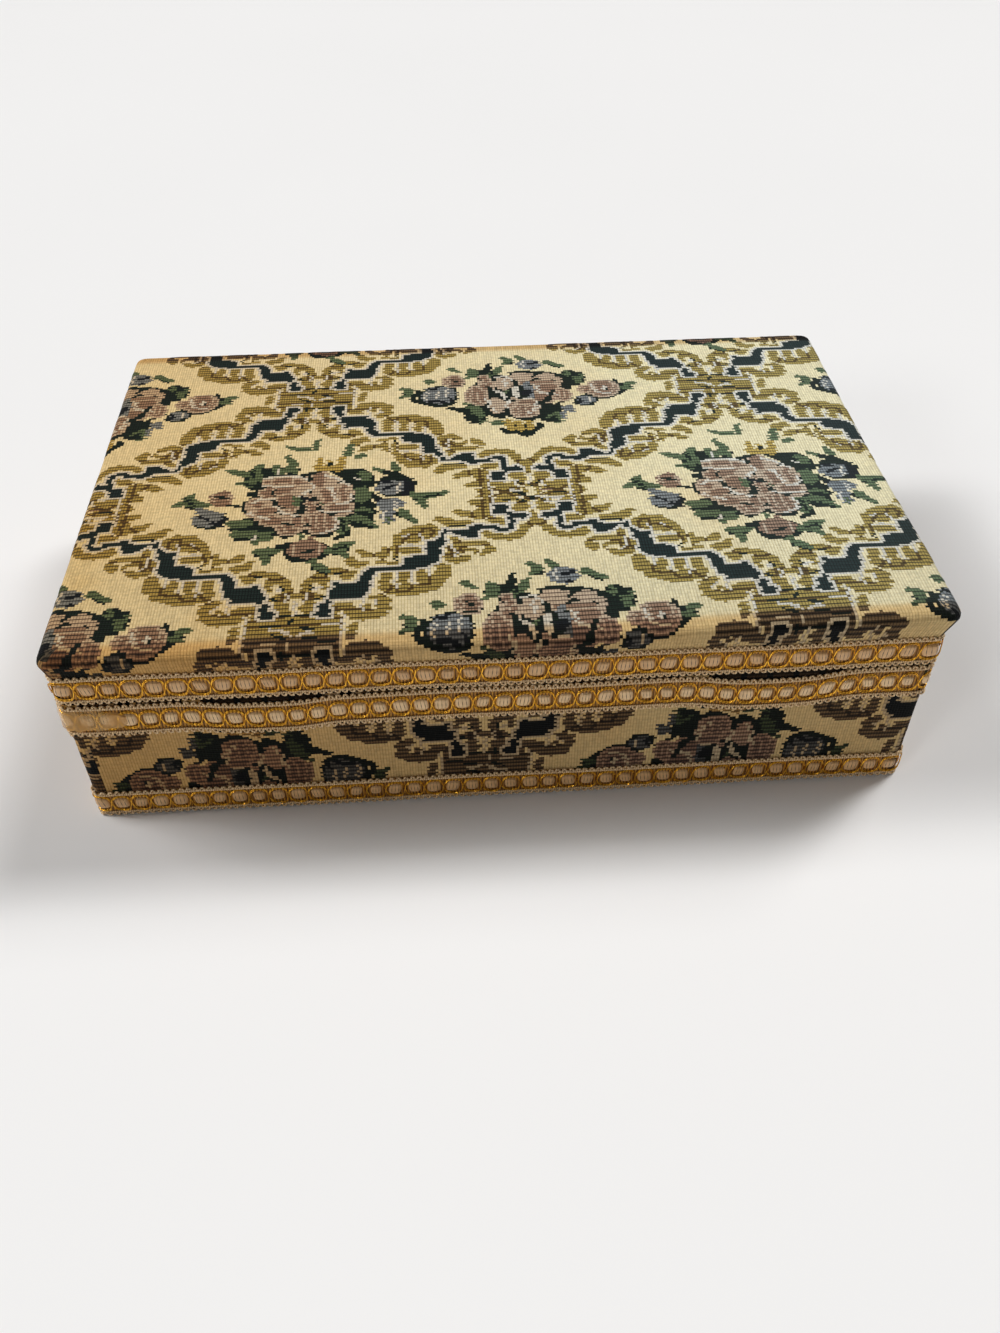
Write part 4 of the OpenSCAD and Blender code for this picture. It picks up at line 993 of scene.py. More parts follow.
def braid_gold():
    """Gilt thread: flat metal strip wound round a core."""
    g = Graph("braid_gold", roughness=0.24, metallic=0.95, specular=0.5)
    cloth, across, along = g.cloth()
    twist = g.math("SINE", g.math("MULTIPLY", g.math("ADD", across, along), 2 * math.pi))
    worn = g.noise(g.place(), 160.0, 4.0)
    tone = g.mix(g.stretch(twist, -1.0, 0.2), colour(176, 118, 26), colour(244, 186, 66))
    tone = g.mix(g.stretch(worn, 0.5, 0.75, 0.0, 0.45), tone, colour(190, 130, 36))
    g.paint(tone)
    g.feed(g.shader.inputs["Roughness"], g.stretch(worn, 0.3, 0.8, 0.18, 0.42))
    g.bump(twist, 0.3, 0.00008)
    return g.material


def honey_glue():
    """Old yellowed glue, dried in a translucent film."""
    g = Graph("honey_glue", roughness=0.42, specular=0.4)
    cloudy = g.noise(g.place(), 180.0, 4.0)
    g.paint(g.mix(g.stretch(cloudy, 0.3, 0.7), colour(244, 204, 138), colour(224, 168, 92)))
    g.feed(g.shader.inputs["Alpha"], g.stretch(cloudy, 0.3, 0.75, 0.28, 0.66))
    g.bump(cloudy, 0.4, 0.0003)
    return g.material


def satin():
    """Ivory satin: fine long floats with a soft gloss."""
    g = Graph("satin", roughness=0.36, sheen=0.3, specular=0.5)
    cloth, across, along = g.cloth()
    floats = g.noise(cloth, 1.0, 2.0, (14.0, 0.6, 1.0))
    broad = g.noise(g.place(), 22.0, 3.0)
    tone = g.mix(g.stretch(floats, 0.3, 0.7), colour(214, 194, 156), colour(240, 226, 196))
    tone = g.mix(g.stretch(broad, 0.45, 0.75, 0.0, 0.35), tone, colour(214, 188, 144))
    g.paint(tone)
    g.feed(g.shader.inputs["Roughness"], g.stretch(floats, 0.2, 0.8, 0.30, 0.48))
    g.bump(g.math("ADD", floats, g.math("MULTIPLY", broad, 0.6)), 0.35, 0.0002)
    return g.material


def grey_board():
    """Pressed grey board with flecks."""
    g = Graph("grey_board", roughness=0.92)
    fleck = g.noise(g.place(), 600.0, 5.0)
    broad = g.noise(g.place(), 30.0, 3.0)
    tone = g.mix(g.stretch(fleck, 0.35, 0.7), colour(134, 122, 106), colour(184, 172, 152))
    tone = g.mix(g.stretch(broad, 0.4, 0.7, 0.0, 0.4), tone, colour(150, 140, 124))
    g.paint(tone)
    g.bump(fleck, 0.5, 0.0003)
    return g.material


def covering_paper():
    """Brown covering paper with a fine leathery grain, rubbed along its edges."""
    g = Graph("covering_paper", roughness=0.7, specular=0.35)
    grain = g.noise(g.place(), 420.0, 4.0)
    rubbed = g.noise(g.place(), 18.0, 5.0)
    tone = g.mix(g.stretch(grain, 0.3, 0.7), colour(58, 40, 30), colour(92, 68, 52))
    tone = g.mix(g.stretch(rubbed, 0.55, 0.75, 0.0, 0.5), tone, colour(120, 94, 74))
    g.paint(tone)
    g.bump(grain, 0.5, 0.0002)
    return g.material


def wadding_fibre():
    g = Graph("wadding", roughness=0.95, sheen=0.4)
    fibre = g.noise(g.place(), 260.0, 6.0, (1.0, 0.25, 1.0))
    g.paint(g.mix(fibre, colour(226, 222, 210), colour(250, 248, 240)))
    g.bump(fibre, 0.8, 0.0006)
    return g.material


# The brocade skins


def squared(angle):
    """The direction at an angle, drawn out a little towards the corners of a square."""
    x, y = np.cos(angle), np.sin(angle)
    return np.stack([x, y], axis=-1) / ((x**4 + y**4) ** 0.25)[..., None]


class Outline:
    """Columns of stitches round the box: a foot on the flat rectangle, and the outward direction."""

    def __init__(self):
        across = np.linspace(-FLAT_W, FLAT_W, TOP_COLUMNS + 1)
        along = np.linspace(-FLAT_D, FLAT_D, TOP_ROWS + 1)
        turn = np.linspace(0, math.pi / 2, CORNER_COLUMNS + 1)
        foot, out = [], []

        def side(xs, ys, angle):
            n = max(np.size(xs), np.size(ys))
            foot.append(np.stack([np.broadcast_to(xs, n), np.broadcast_to(ys, n)], axis=1))
            out.append(np.broadcast_to([math.cos(angle), math.sin(angle)], (n, 2)))

        def corner(x, y, start):
            angles = start + turn[1:-1]
            foot.append(np.broadcast_to([x, y], (len(angles), 2)))
            out.append(squared(angles))

        quarter = math.pi / 2
        side(across, -FLAT_D, -quarter)
        corner(FLAT_W, -FLAT_D, -quarter)
        side(FLAT_W, along, 0.0)
        corner(FLAT_W, FLAT_D, 0.0)
        side(across[::-1], FLAT_D, quarter)
        corner(-FLAT_W, FLAT_D, quarter)
        side(-FLAT_W, along[::-1], 2 * quarter)
        corner(-FLAT_W, -FLAT_D, 2 * quarter)
        self.foot = np.concatenate(foot + [foot[0][:1]])
        self.out = np.concatenate(out + [out[0][:1]])

    def at(self, offset):
        """Points x, y at each offset outwards from the flat rectangle: rows by columns by 2."""
        offset = np.asarray(offset, float)[:, None, None]
        inset = np.minimum(offset, 0.0)
        limit = np.array([FLAT_W, FLAT_D]) + inset
        return np.clip(self.foot, -limit, limit) + self.out * np.maximum(offset, 0.0)


OUTLINE = Outline()


def profile(corners, step=STITCH_D):
    """A polyline of (offset, height) split into rows about one stitch long: their offsets and heights."""
    offsets, heights = [corners[0][0]], [corners[0][1]]
    for (o0, z0), (o1, z1) in zip(corners, corners[1:]):
        count = max(1, int(round(math.hypot(o1 - o0, z1 - z0) / step)))
        for k in range(1, count + 1):
            offsets.append(o0 + (o1 - o0) * k / count)
            heights.append(z0 + (z1 - z0) * k / count)
    return np.array(offsets), np.array(heights)


def rounded(centre_offset, centre_height, radius, low, high, steps=4):
    """Corners of a profile along an arc, angles in degrees from outwards, counter-clockwise."""
    return [(centre_offset + radius * math.cos(math.radians(a)), centre_height + radius * math.sin(math.radians(a)))
            for a in np.linspace(low, high, steps + 1)]


def relief(piece, heights):
    """Raises each vertex along its normal by the mean of its faces' heights, in millimetres."""
    mesh = piece.data
    total = np.zeros(len(mesh.vertices))
    count = np.zeros(len(mesh.vertices))
    corner_vertex = np.empty(len(mesh.loops), np.int32)
    mesh.loops.foreach_get("vertex_index", corner_vertex)
    sizes = np.empty(len(mesh.polygons), np.int32)
    mesh.polygons.foreach_get("loop_total", sizes)
    np.add.at(total, corner_vertex, np.repeat(heights, sizes))
    np.add.at(count, corner_vertex, 1)
    rise = total / np.maximum(count, 1)
    normals = np.empty(len(mesh.vertices) * 3, np.float32)
    mesh.vertices.foreach_get("normal", normals)
    places = np.empty(len(mesh.vertices) * 3, np.float32)
    mesh.vertices.foreach_get("co", places)
    places += (normals.reshape(-1, 3) * rise[:, None] * MM).ravel().astype(np.float32)
    mesh.vertices.foreach_set("co", places)
    mesh.update()


YARN_RISE = {"cream": 0.0, "gold": 0.16, "pale": 0.12, "ribbon": 0.06, "rose": 0.16, "pink": 0.14, "green": 0.13,
             "dark_green": 0.08, "blue": 0.14, "navy": 0.08, "yellow": 0.18, "brown": 0.04}


def raise_yarns(piece):
    layer = piece.data.attributes["stitch"]
    values = np.empty(len(piece.data.polygons), np.float32)
    layer.data.foreach_get("value", values)
    number = np.floor(values * YARN_STEPS).astype(int)
    relief(piece, np.array([YARN_RISE[n] for n in YARNS])[number])


def crown(x, y, rise):
    """Height of the padded top over its edge."""
    u = np.clip(np.abs(x) / (FLAT_W + CORNER_R + FLARE - EDGE_R), 0, 1)
    v = np.clip(np.abs(y) / (FLAT_D + CORNER_R + FLARE - EDGE_R), 0, 1)
    return rise * (1 - u**5) * (1 - v**5)


def smooth_step(value, low, high):
    t = np.clip((value - low) / (high - low), 0, 1)
    return t * t * (3 - 2 * t)


def pull_to_right(points):
    """The lid's cloth stands out a little over its right side, and up at its front right corner."""
    x, y, z = points[..., 0], points[..., 1], points[..., 2]
    above = smooth_step(z, BRAID_TOP, BRAID_TOP + 5)
    out = 1.3 * smooth_step(x, 70, 112)
    up = 1.9 * smooth_step(x, 10, 112) * smooth_step(-y, -10, 70)
    return np.stack([x + out * above, y, z + up * above], axis=-1)


def skin_rings(patches, corners, place_of, shape=None, pull=None):
    """Rings of cloth round the box along a profile. place_of turns the rings' numbers into right and down from a
    crossing, in stitches."""
    offsets, heights = profile(corners)
    xy = OUTLINE.at(offsets)
    z = np.broadcast_to(heights[:, None], xy.shape[:2]).copy()
    if shape is not None:
        z = shape(xy, z)
    points = np.concatenate([xy, z[..., None]], axis=2)
    if pull is not None:
        points = pull(points)
    right, down = place_of(np.arange(len(offsets)))
    middle_right, middle_down = (corner_values(v[..., None])[:, :, 0].mean(axis=1) for v in (right, down))
    uv = np.stack([right, down], axis=2)
    patches.add(points[:, ::-1], uv[:, ::-1], reorder(yarn_at(middle_right, middle_down), len(offsets) - 1))


def reorder(values, rows):
    """Face values of a grid whose columns are reversed."""
    return values.reshape(rows, -1)[:, ::-1].ravel()


def lid_cloth_place(rings):
    """The lid's cloth runs on from the top over each side. At a corner it belongs to the nearer side."""
    foot, out = OUTLINE.foot, OUTLINE.out
    down_side = rings[:, None]
    angle = np.arctan2(out[:, 1], out[:, 0])
    quarter = math.pi / 2
    nearest = np.round(angle / quarter) * quarter
    side_x, side_y = np.round(np.cos(nearest)), np.round(np.sin(nearest))
    sideways = (angle - nearest) / quarter * CORNER_COLUMNS
    right = (foot[:, 0] + FLAT_W) / STITCH_W + side_x * down_side - side_y * sideways
    down = (FLAT_D - foot[:, 1]) / STITCH_D - side_y * down_side - side_x * sideways
    return right - LID_CROSSING[0], down - LID_CROSSING[1]


def make_lid_cover(material):
    bottom, top = lid_low[2], lid_high[2]
    rise = 1.0
    edge_z = top - rise
    patches = Patches()
    # The flat top
    x, y = np.meshgrid(np.linspace(-FLAT_W, FLAT_W, TOP_COLUMNS + 1), np.linspace(-FLAT_D, FLAT_D, TOP_ROWS + 1))
    points = pull_to_right(np.stack([x, y, edge_z + crown(x, y, rise)], axis=2))
    right = (x + FLAT_W) / STITCH_W - LID_CROSSING[0]
    down = (FLAT_D - y) / STITCH_D - LID_CROSSING[1]
    centre = [corner_values(v[..., None])[:, :, 0].mean(axis=1) for v in (right, down)]
    patches.add(points, np.stack([right, down], axis=2), yarn_at(*centre))
    # Over the soft edge, down the side, under the rim and up inside
    corners = [
        (0.0, edge_z),
        *rounded(CORNER_R + FLARE - EDGE_R, edge_z - EDGE_R, EDGE_R, 90, 0),
        (CORNER_R + 0.15, 53.8),
        *rounded(CORNER_R - 0.5, bottom + 0.5, 0.5, 0, -90, 2),
        (CORNER_R - WALL_T, bottom),
        (CORNER_R - WALL_T, bottom + TURN_IN),
    ]
    skin_rings(patches, corners, lid_cloth_place,
               lambda xy, z: np.where(z > edge_z - EDGE_R, z + crown(xy[..., 0], xy[..., 1], rise), z),
               pull_to_right)
    # Painted shade where the lid's cloth meets the seam
    stitches = paint_seam_shade(patches.faces(), patches, lambda z: (z > base_high[2]) & (z < bottom + 0.5))
    piece = patches.piece("lid_brocade", [material], stitches=stitches)
    raise_yarns(piece)
    return piece


def base_cloth_place(rings, crossing_ring):
    """The base's cloth is one strip round the box, upside down."""
    crossing_column = round((BASE_CROSSING[0] + FLAT_W) / STITCH_W)
    right = crossing_column - np.arange(len(OUTLINE.foot))[None, :] + 0 * rings[:, None]
    down = crossing_ring - rings[:, None] + 0 * right
    return right, down


def paint_seam_shade(stitches, patches, near_seam):
    """Painted shade: stitches near the seam, and those that the braid's dips uncover, are drawn in dark yarns."""
    middle = corner_middles(patches)
    x, y, z = middle[:, 0], middle[:, 1], middle[:, 2]
    outside = (np.abs(x) > FLAT_W + CORNER_R - 0.9) | (np.abs(y) > FLAT_D + CORNER_R - 0.9)
    seam_shade = outside & near_seam(z)
    uncovered = (y < -FLAT_D) & (z > base_high[2] - 3.2) & (z < base_high[2] + 0.1) & (rim_sag(x, y) > 0.5)
    dark = np.where(uncovered & (x % 7 < 1.6), YARN["ribbon"], YARN["brown"])
    return np.where(seam_shade | uncovered, dark, stitches)


def corner_middles(patches):
    quads, points = np.concatenate(patches.quads), np.concatenate(patches.points)
    return points[quads].mean(axis=1)


def make_base_cover(material):
    bottom, top = base_low[2], base_high[2]
    corners = [
        (CORNER_R - WALL_T, top - TURN_IN),
        *rounded(CORNER_R - WALL_T + 0.4, top - 0.4, 0.4, 180, 90, 2),
        *rounded(CORNER_R - 0.8, top - 0.8, 0.8, 90, 0, 2),
        *rounded(CORNER_R - 0.8, bottom + 0.8, 0.8, 0, -90, 2),
        (CORNER_R - CLOTH_T - 12.0, bottom),
    ]
    offsets, heights = profile(corners)
    outside = offsets > CORNER_R - 0.01
    crossing_ring = int(np.argmin(np.abs(heights - BASE_CROSSING[1]) + 1000.0 * ~outside))
    patches = Patches()
    skin_rings(patches, corners, lambda rings: base_cloth_place(rings, crossing_ring))
    # Painted shade where the base's cloth meets the seam
    stitches = paint_seam_shade(patches.faces(), patches, lambda z: z > top - 0.5)
    piece = patches.piece("base_brocade", [material], stitches=stitches)
    raise_yarns(piece)
    return piece


def strip_points(half, y_of, z_values, columns):
    xs = np.linspace(-half, half, columns + 1)
    x, z = np.meshgrid(xs, z_values)
    return np.stack([x, y_of(x, z), z], axis=2)


def make_hinge_cloth(material):
    """One strip of brocade glued across the back of the seam, with its long edges turned under."""
    low, high = node_box("hinge_cloth_lower")[0], node_box("hinge_cloth_upper")[1]
    half = high[0]
    columns = int(round(2 * half / STITCH_W))
    rows = int(round((high[2] - low[2]) / STITCH_D))
    z = np.linspace(low[2], high[2], rows + 1)
    edge = np.minimum(z - low[2], high[2] - z)

    def face(x, zz):
        near_end = half - np.abs(x)
        near_edge = np.interp(zz, z, edge)
        lift = np.clip(np.minimum(near_end, near_edge) / 0.5, 0, 1)
        return HALF_D + 0.05 + 0.5 * np.sqrt(lift)

    points = strip_points(half, face, z, columns)
    right, down = np.meshgrid(26.0 - np.arange(columns + 1), np.arange(rows + 1) - 27.0)
    centre = [corner_values(v[..., None])[:, :, 0].mean(axis=1) for v in (right, down)]
    uv = np.stack([right, down], axis=2)
    patches = Patches()
    patches.add(points[:, ::-1], uv[:, ::-1], reorder(yarn_at(*centre), rows))
    piece = patches.piece("hinge_brocade", [material], stitches=patches.faces())
    return piece


def make_hinge_ribbon(material):
    """One satin ribbon glued across the inside of the seam."""
    low, high = node_box("hinge_ribbon_lower")[0], node_box("hinge_ribbon_upper")[1]
    half, y = high[0], low[1]
    z = np.concatenate([np.linspace(low[2], base_high[2], 8), np.linspace(base_high[2], lid_low[2], 7)[1:-1],
                        np.linspace(lid_low[2], high[2], 8)])
    points = strip_points(half, lambda x, zz: y + 0 * x, z, 150)
    uv = np.stack([points[..., 0], points[..., 2]], axis=2)
    patches = Patches()
    patches.add(points, uv)
    return patches.piece("hinge_satin", [material])


# The looped braid


class Track:
    """A line round the outside of the cloth. It starts at the left back corner and runs along the left side,
    the front and the right side, or all the way round."""

    def __init__(self, closed):
        w, d, r = HALF_W, HALF_D, CORNER_R
        side, front, arc = 2 * (d - r), 2 * (w - r), math.pi / 2 * r
        parts = [("line", side, (-w, d - r), (0, -1)), ("arc", arc, (-w + r, -d + r), math.pi),
                 ("line", front, (-w + r, -d), (1, 0)), ("arc", arc, (w - r, -d + r), 1.5 * math.pi),
                 ("line", side, (w, -d + r), (0, 1))]
        if closed:
            parts += [("arc", arc, (w - r, d - r), 0.0), ("line", front, (w - r, d), (-1, 0)),
                      ("arc", arc, (-w + r, d - r), 0.5 * math.pi)]
        self.parts = parts
        self.length = sum(p[1] for p in parts)

    def at(self, s):
        """Places x, y and outward directions for lengths s along the track."""
        s = np.asarray(s, float)
        place = np.zeros(s.shape + (2,))
        out = np.zeros(s.shape + (2,))
        start = 0.0
        for k, (kind, length, origin, way) in enumerate(self.parts):
            last = k == len(self.parts) - 1
            here = (s >= start) & ((s < start + length) | last)
            if k == 0:
                here |= s < start
            t = (s - start)[here]
            if kind == "line":
                place[here] = np.array(origin) + t[:, None] * np.array(way)
                out[here] = (way[1], -way[0])
            else:
                angle = way + t / CORNER_R
                out[here] = np.stack([np.cos(angle), np.sin(angle)], axis=1)
                place[here] = np.array(origin) + CORNER_R * squared(angle)
            start += length
        return place, out


class Braid:
    """The braid's own coordinates: s along, h up from its middle, d out from the cloth."""

    def __init__(self, closed, middle, sag=None):
        self.track, self.middle, self.sag = Track(closed), middle, sag
        self.closed = closed

    def points(self, s, h, d):
        place, out = self.track.at(s)
        z = self.middle + h
        if self.sag is not None:
            z = z - self.sag(place[..., 0], place[..., 1])
        return np.concatenate([place + out * np.asarray(d)[..., None], z[..., None]], axis=-1)


def tube(points, outward, radius, sides):
    """Rings round a line of points. outward is roughly across the line and keeps the rings from twisting."""
    along = np.gradient(points, axis=0)
    along /= np.linalg.norm(along, axis=1, keepdims=True)
    across = np.cross(along, outward)
    across /= np.linalg.norm(across, axis=1, keepdims=True)
    up = np.cross(across, along)
    angles = np.linspace(0, 2 * math.pi, sides + 1)
    ring = (np.cos(angles)[None, :, None] * up[:, None, :] + np.sin(angles)[None, :, None] * across[:, None, :])
    return points[:, None, :] + ring * radius


def outward_of(braid, s):
    out = braid.track.at(s)[1]
    return np.concatenate([out, np.zeros(out.shape[:-1] + (1,))], axis=-1)


THREAD_PART, PAD_PART, GOLD_PART, GROUND_PART, GLUE_PART = range(5)
LINK_HALF = 3.0
STRAND_R = 0.18
CORD_R = 0.31
SCALLOP = 1.95
PAD_HALF = 2.15
GROUND_T = 0.45


def make_braid(name, materials, closed, node, width, pitch, sag=None, seed=0, reach=0.42, film=None):
    """A chain of gilt links round pearly pads on a gilt ground, with cords scalloped by reach along each edge."""
    low, high = node_box(node)
    braid = Braid(closed, (low[2] + high[2]) / 2, sag)
    chance = np.random.default_rng(SEED + seed)
    count = int(round(braid.track.length / pitch))
    pitch = braid.track.length / count
    patches = Patches()
    add_ground(patches, braid, width, count, pitch)
    add_pads(patches, braid, count, pitch, chance)
    add_links(patches, braid, count, pitch, chance)
    add_cords(patches, braid, width, reach, chance)
    if film is not None:
        add_film(patches, braid, film, chance)
    return patches.piece(name, materials, face_material=patches.faces())


def add_ground(patches, braid, width, count, pitch):
    half = width / 2 - 0.5
    h = np.array([-half, -half, -half * 0.5, 0.0, half * 0.5, half, half])
    d = np.array([0.0, GROUND_T, GROUND_T, GROUND_T, GROUND_T, GROUND_T, 0.0])
    s = np.linspace(0, braid.track.length, 2 * count + 1)
    ss, hh = np.meshgrid(s, h, indexing="ij")
    dd = np.broadcast_to(d, ss.shape)
    points = braid.points(ss, hh, dd)
    uv = np.stack([ss / 0.9, hh / 0.9], axis=2)
    patches.add(points.transpose(1, 0, 2), uv.transpose(1, 0, 2), GROUND_PART)


def add_pads(patches, braid, count, pitch, chance):
    """Small pillows, rounder than they are square, with the middle highest."""
    steps = 8
    aa, bb = np.meshgrid(np.linspace(-1, 1, steps + 1), np.linspace(-1, 1, steps + 1))
    squeeze = np.sqrt(1 - 0.35 * bb**2)
    half_s = pitch * 0.37
    dome = np.sqrt(np.clip((1 - aa**4) * (1 - bb**4), 0, 1))
    uv = np.stack([(aa + 1) / 2, (bb + 1) / 2], axis=2)
    for k in range(count):
        lean = chance.uniform(-0.40, 0.30)
        size = chance.uniform(0.80, 1.08)
        s = (k + 0.5) * pitch + half_s * size * aa * squeeze + lean * bb
        h = PAD_HALF * size * bb * np.sqrt(1 - 0.3 * aa**2) + chance.uniform(-0.12, 0.12)
        d = GROUND_T * 0.6 + dome * chance.uniform(0.62, 0.80)
        patches.add(braid.points(s, h, d), uv, PAD_PART)


def add_tube(patches, braid, s, h, d, radius, sides, turn, part):
    """A thread along the braid. turn is the length of its own twist."""
    rings = tube(braid.points(s, h, d), outward_of(braid, s), radius, sides)
    uv = np.stack(np.meshgrid(np.linspace(0, 1, sides + 1), s / turn, indexing="xy"), axis=2)
    patches.add(rings.transpose(1, 0, 2)[::-1], uv.transpose(1, 0, 2)[::-1], part)


def add_links(patches, braid, count, pitch, chance):
    """Two pairs of gilt threads that cross between the pads, once over and once under."""
    samples = 10
    s = np.linspace(0, braid.track.length, count * samples + 1)
    phase = s / pitch * math.pi
    wave = np.sin(phase)
    swell = 1 + np.interp(s, np.linspace(0, braid.track.length, count * 2), chance.uniform(-0.10, 0.10, count * 2))
    for way in (1, -1):
        shape = np.sign(wave) * np.abs(wave) ** 0.42 * way
        over = 0.80 + 0.26 * way * np.cos(phase) - 0.16 * wave**2
        for part in (-1, 1):
            h = shape * (LINK_HALF + part * 0.24) * swell
            bowed = s + (0.30 + 0.12 * part) * np.sin(2 * phase) * -0.5
            add_tube(patches, braid, bowed, h, over, STRAND_R, 5, 0.9, GOLD_PART)


def add_cords(patches, braid, width, reach, chance):
    """A straight cord along each edge, with a second one that winds in scallops outside it."""
    turns = int(braid.track.length / SCALLOP)
    samples = 6
    s = np.linspace(0, braid.track.length, turns * samples + 1)
    phase = s / braid.track.length * turns * 2 * math.pi
    straight = np.linspace(0, braid.track.length, turns * 2)
    for way in (1, -1):
        knots = chance.uniform(-0.10, 0.10, turns)
        loose = np.interp(s, np.linspace(0, braid.track.length, turns), knots)
        h = way * (width / 2 - 0.45 + reach * np.cos(phase)) + loose
        d = 0.62 + 0.16 * np.sin(phase)
        add_tube(patches, braid, s + 0.16 * np.sin(2 * phase), h, d, CORD_R, 5, 0.6, THREAD_PART)
        inner = np.full(straight.shape, way * (width / 2 - 1.15))
        add_tube(patches, braid, straight, inner, np.full(straight.shape, 0.60), CORD_R, 5, 0.6, THREAD_PART)


def add_film(patches, braid, ends, chance):
    """A film of dried glue over the braid between two lengths along it."""
    columns, rows = 44, 20
    s, h = np.meshgrid(np.linspace(*ends, columns + 1), np.linspace(-1, 1, rows + 1))
    t = (s - ends[0]) / (ends[1] - ends[0])
    ragged = 3.7 - 2.2 * np.clip((t - 0.55) / 0.45, 0, 1) ** 2 + 0.25 * np.sin(t * 23.0) + 0.15 * np.sin(t * 57.0)
    edge = np.clip(np.minimum.reduce([1 - np.abs(h), 6.0 * t, 6.0 * (1 - t)]) * 5.0, 0, 1)
    lumps = 0.10 * np.sin(s * 1.9 + 2.0 * h) + 0.08 * np.sin(s * 4.1 - 3.0 * h + 1.0)
    d = 0.70 + (0.62 + lumps) * np.sqrt(edge)
    points = braid.points(s, h * ragged + 0.3, d)
    patches.add(points, np.stack([t, h], axis=2), GLUE_PART)


# The lining


def rounded_slab(low, high, soft, bulge, axis, materials, name, columns=40, rows=12):
    """A thin satin-covered card from low to high with soft edges and a faint swell on the side that shows.
    axis is the outward direction of that side: its index and sign."""
    index, sign = axis
    others = [k for k in range(3) if k != index]
    u = np.linspace(low[others[0]], high[others[0]], columns + 1)
    v = np.linspace(low[others[1]], high[others[1]], rows + 1)
    uu, vv = np.meshgrid(u, v)
    edge = np.minimum.reduce([uu - u[0], u[-1] - uu, vv - v[0], v[-1] - vv])
    front = high[index] if sign > 0 else low[index]
    back = low[index] if sign > 0 else high[index]
    depth = abs(front - back)
    lift = np.sqrt(np.clip(1 - (1 - np.clip(edge / soft, 0, 1)) ** 2, 0, 1))
    swell = 1 - np.exp(-edge / 9.0)
    face = back + (front - back) * (1 - bulge / depth) * lift + sign * bulge * swell
    points = np.zeros(uu.shape + (3,))
    points[..., others[0]], points[..., others[1]], points[..., index] = uu, vv, face
    under = points.copy()
    under[..., index] = back
    uv = np.stack([uu, vv], axis=2)
    patches = Patches()
    flip = (sign > 0) == (index != 1)
    first, second = (points, under[:, ::-1]) if flip else (points[:, ::-1], under)
    patches.add(first, uv)
    patches.add(second, uv)
    return patches.piece(name, materials)


def clear_of(low, high, gap=0.05):
    return np.array(low) + gap, np.array(high) - gap


def make_linings(material):
    pieces = []
    facing = {"front": (1, 1), "back": (1, -1), "left": (0, 1), "right": (0, -1)}
    for half in ("base", "lid"):
        for side, axis in facing.items():
            node = f"{half}_{side}_lining"
            low, high = clear_of(*node_box(node))
            long_side = max(high[0] - low[0], high[1] - low[1])
            columns = int(long_side / 1.5)
            if side in ("left", "right"):
                piece = rounded_slab(low, high, 0.8, 0.3, axis, [material], f"{half}_{side}_satin", columns, 24)
            else:
                piece = rounded_slab(low, high, 0.8, 0.3, axis, [material], f"{half}_{side}_satin", columns, 24)
            pieces.append((piece, node, half))
    return pieces


def make_pad(name, node, up, material, half):
    low, high = clear_of(*node_box(node))
    return rounded_slab(low, high, 1.6, 1.2, (2, 1 if up else -1), [material], name, 140, 90)


def make_wadding():
    """The sheet of wadding under the lid's brocade, thinner towards its edges."""
    low, high = clear_of(*node_box("lid_padding"), 2.0)
    low[2], high[2] = low[2] - 1.98, high[2] + 1.70
    return rounded_slab(low, high, 3.0, 0.2, (2, 1), [wadding_fibre()], "lid_wadding", 120, 80)


# Stage, lamps and camera


def make_floor():
    """A pale floor that runs far out, so that its edge doesn't show."""
    g = Graph("floor", roughness=0.9, specular=0.1)
    grain = g.noise(g.place(), 3.0, 2.0)
    g.paint(g.mix(g.stretch(grain, 0.3, 0.7, 0.0, 0.3), colour(240, 239, 238), colour(236, 235, 234)))
    mesh = bpy.data.meshes.new("floor")
    size = 6.0
    mesh.from_pydata([(-size, -size, 0), (size, -size, 0), (size, size, 0), (-size, size, 0)], [], [(0, 1, 2, 3)])
    mesh.materials.append(g.material)
    floor = bpy.data.objects.new("floor", mesh)
    bpy.context.collection.objects.link(floor)


def make_world(strength):
    world = bpy.data.worlds.new("studio")
    world.use_nodes = True
    nodes, links = world.node_tree.nodes, world.node_tree.links
    background = nodes["Background"]
    background.inputs[0].default_value = colour(240, 239, 238)
    # Plain and pale where the camera sees it, dimmer as a light
    path = nodes.new("ShaderNodeLightPath")
    level = nodes.new("ShaderNodeMapRange")
    level.inputs["To Min"].default_value = strength
    level.inputs["To Max"].default_value = 1.0
    links.new(path.outputs["Is Camera Ray"], level.inputs["Value"])
    links.new(level.outputs["Result"], background.inputs[1])
    bpy.context.scene.world = world


# Directions towards the lamps (right, back for one up) and each one's share of the light on the floor. Those on
# the left and right hide each other's shadows on the floor, and the low one in front lights the front faces.
LAMPS = (
    (0.42, 0.40, 0.18), (0.62, 0.42, 0.16), (0.82, 0.60, 0.15),
    (-0.70, 0.40, 0.09), (-1.00, 0.34, 0.12), (-1.20, 0.15, 0.20),
    (-1.40, -1.20, 0.07))
LAMP_ANGLE = 0.25


def lamp(right, back, share):
    """Even white light from far away."""
    data = bpy.data.lights.new("lamp", "SUN")
    towards = Vector((right, back, 1.0))
    data.angle = LAMP_ANGLE
    data.energy = share * math.pi * towards.length
    obj = bpy.data.objects.new("lamp", data)
    obj.location = towards
    obj.rotation_euler = (-towards).to_track_quat("-Z", "Y").to_euler()
    bpy.context.collection.objects.link(obj)


FOCAL_PIXELS = 1117.9
IMAGE_HEIGHT = 1333.0
SENSOR = 36.0
CAMERA_PLACE = (-0.01318, -0.28047, 0.25012)
CAMERA_YAW, CAMERA_PITCH, CAMERA_ROLL = 3.42, 44.008, -0.345


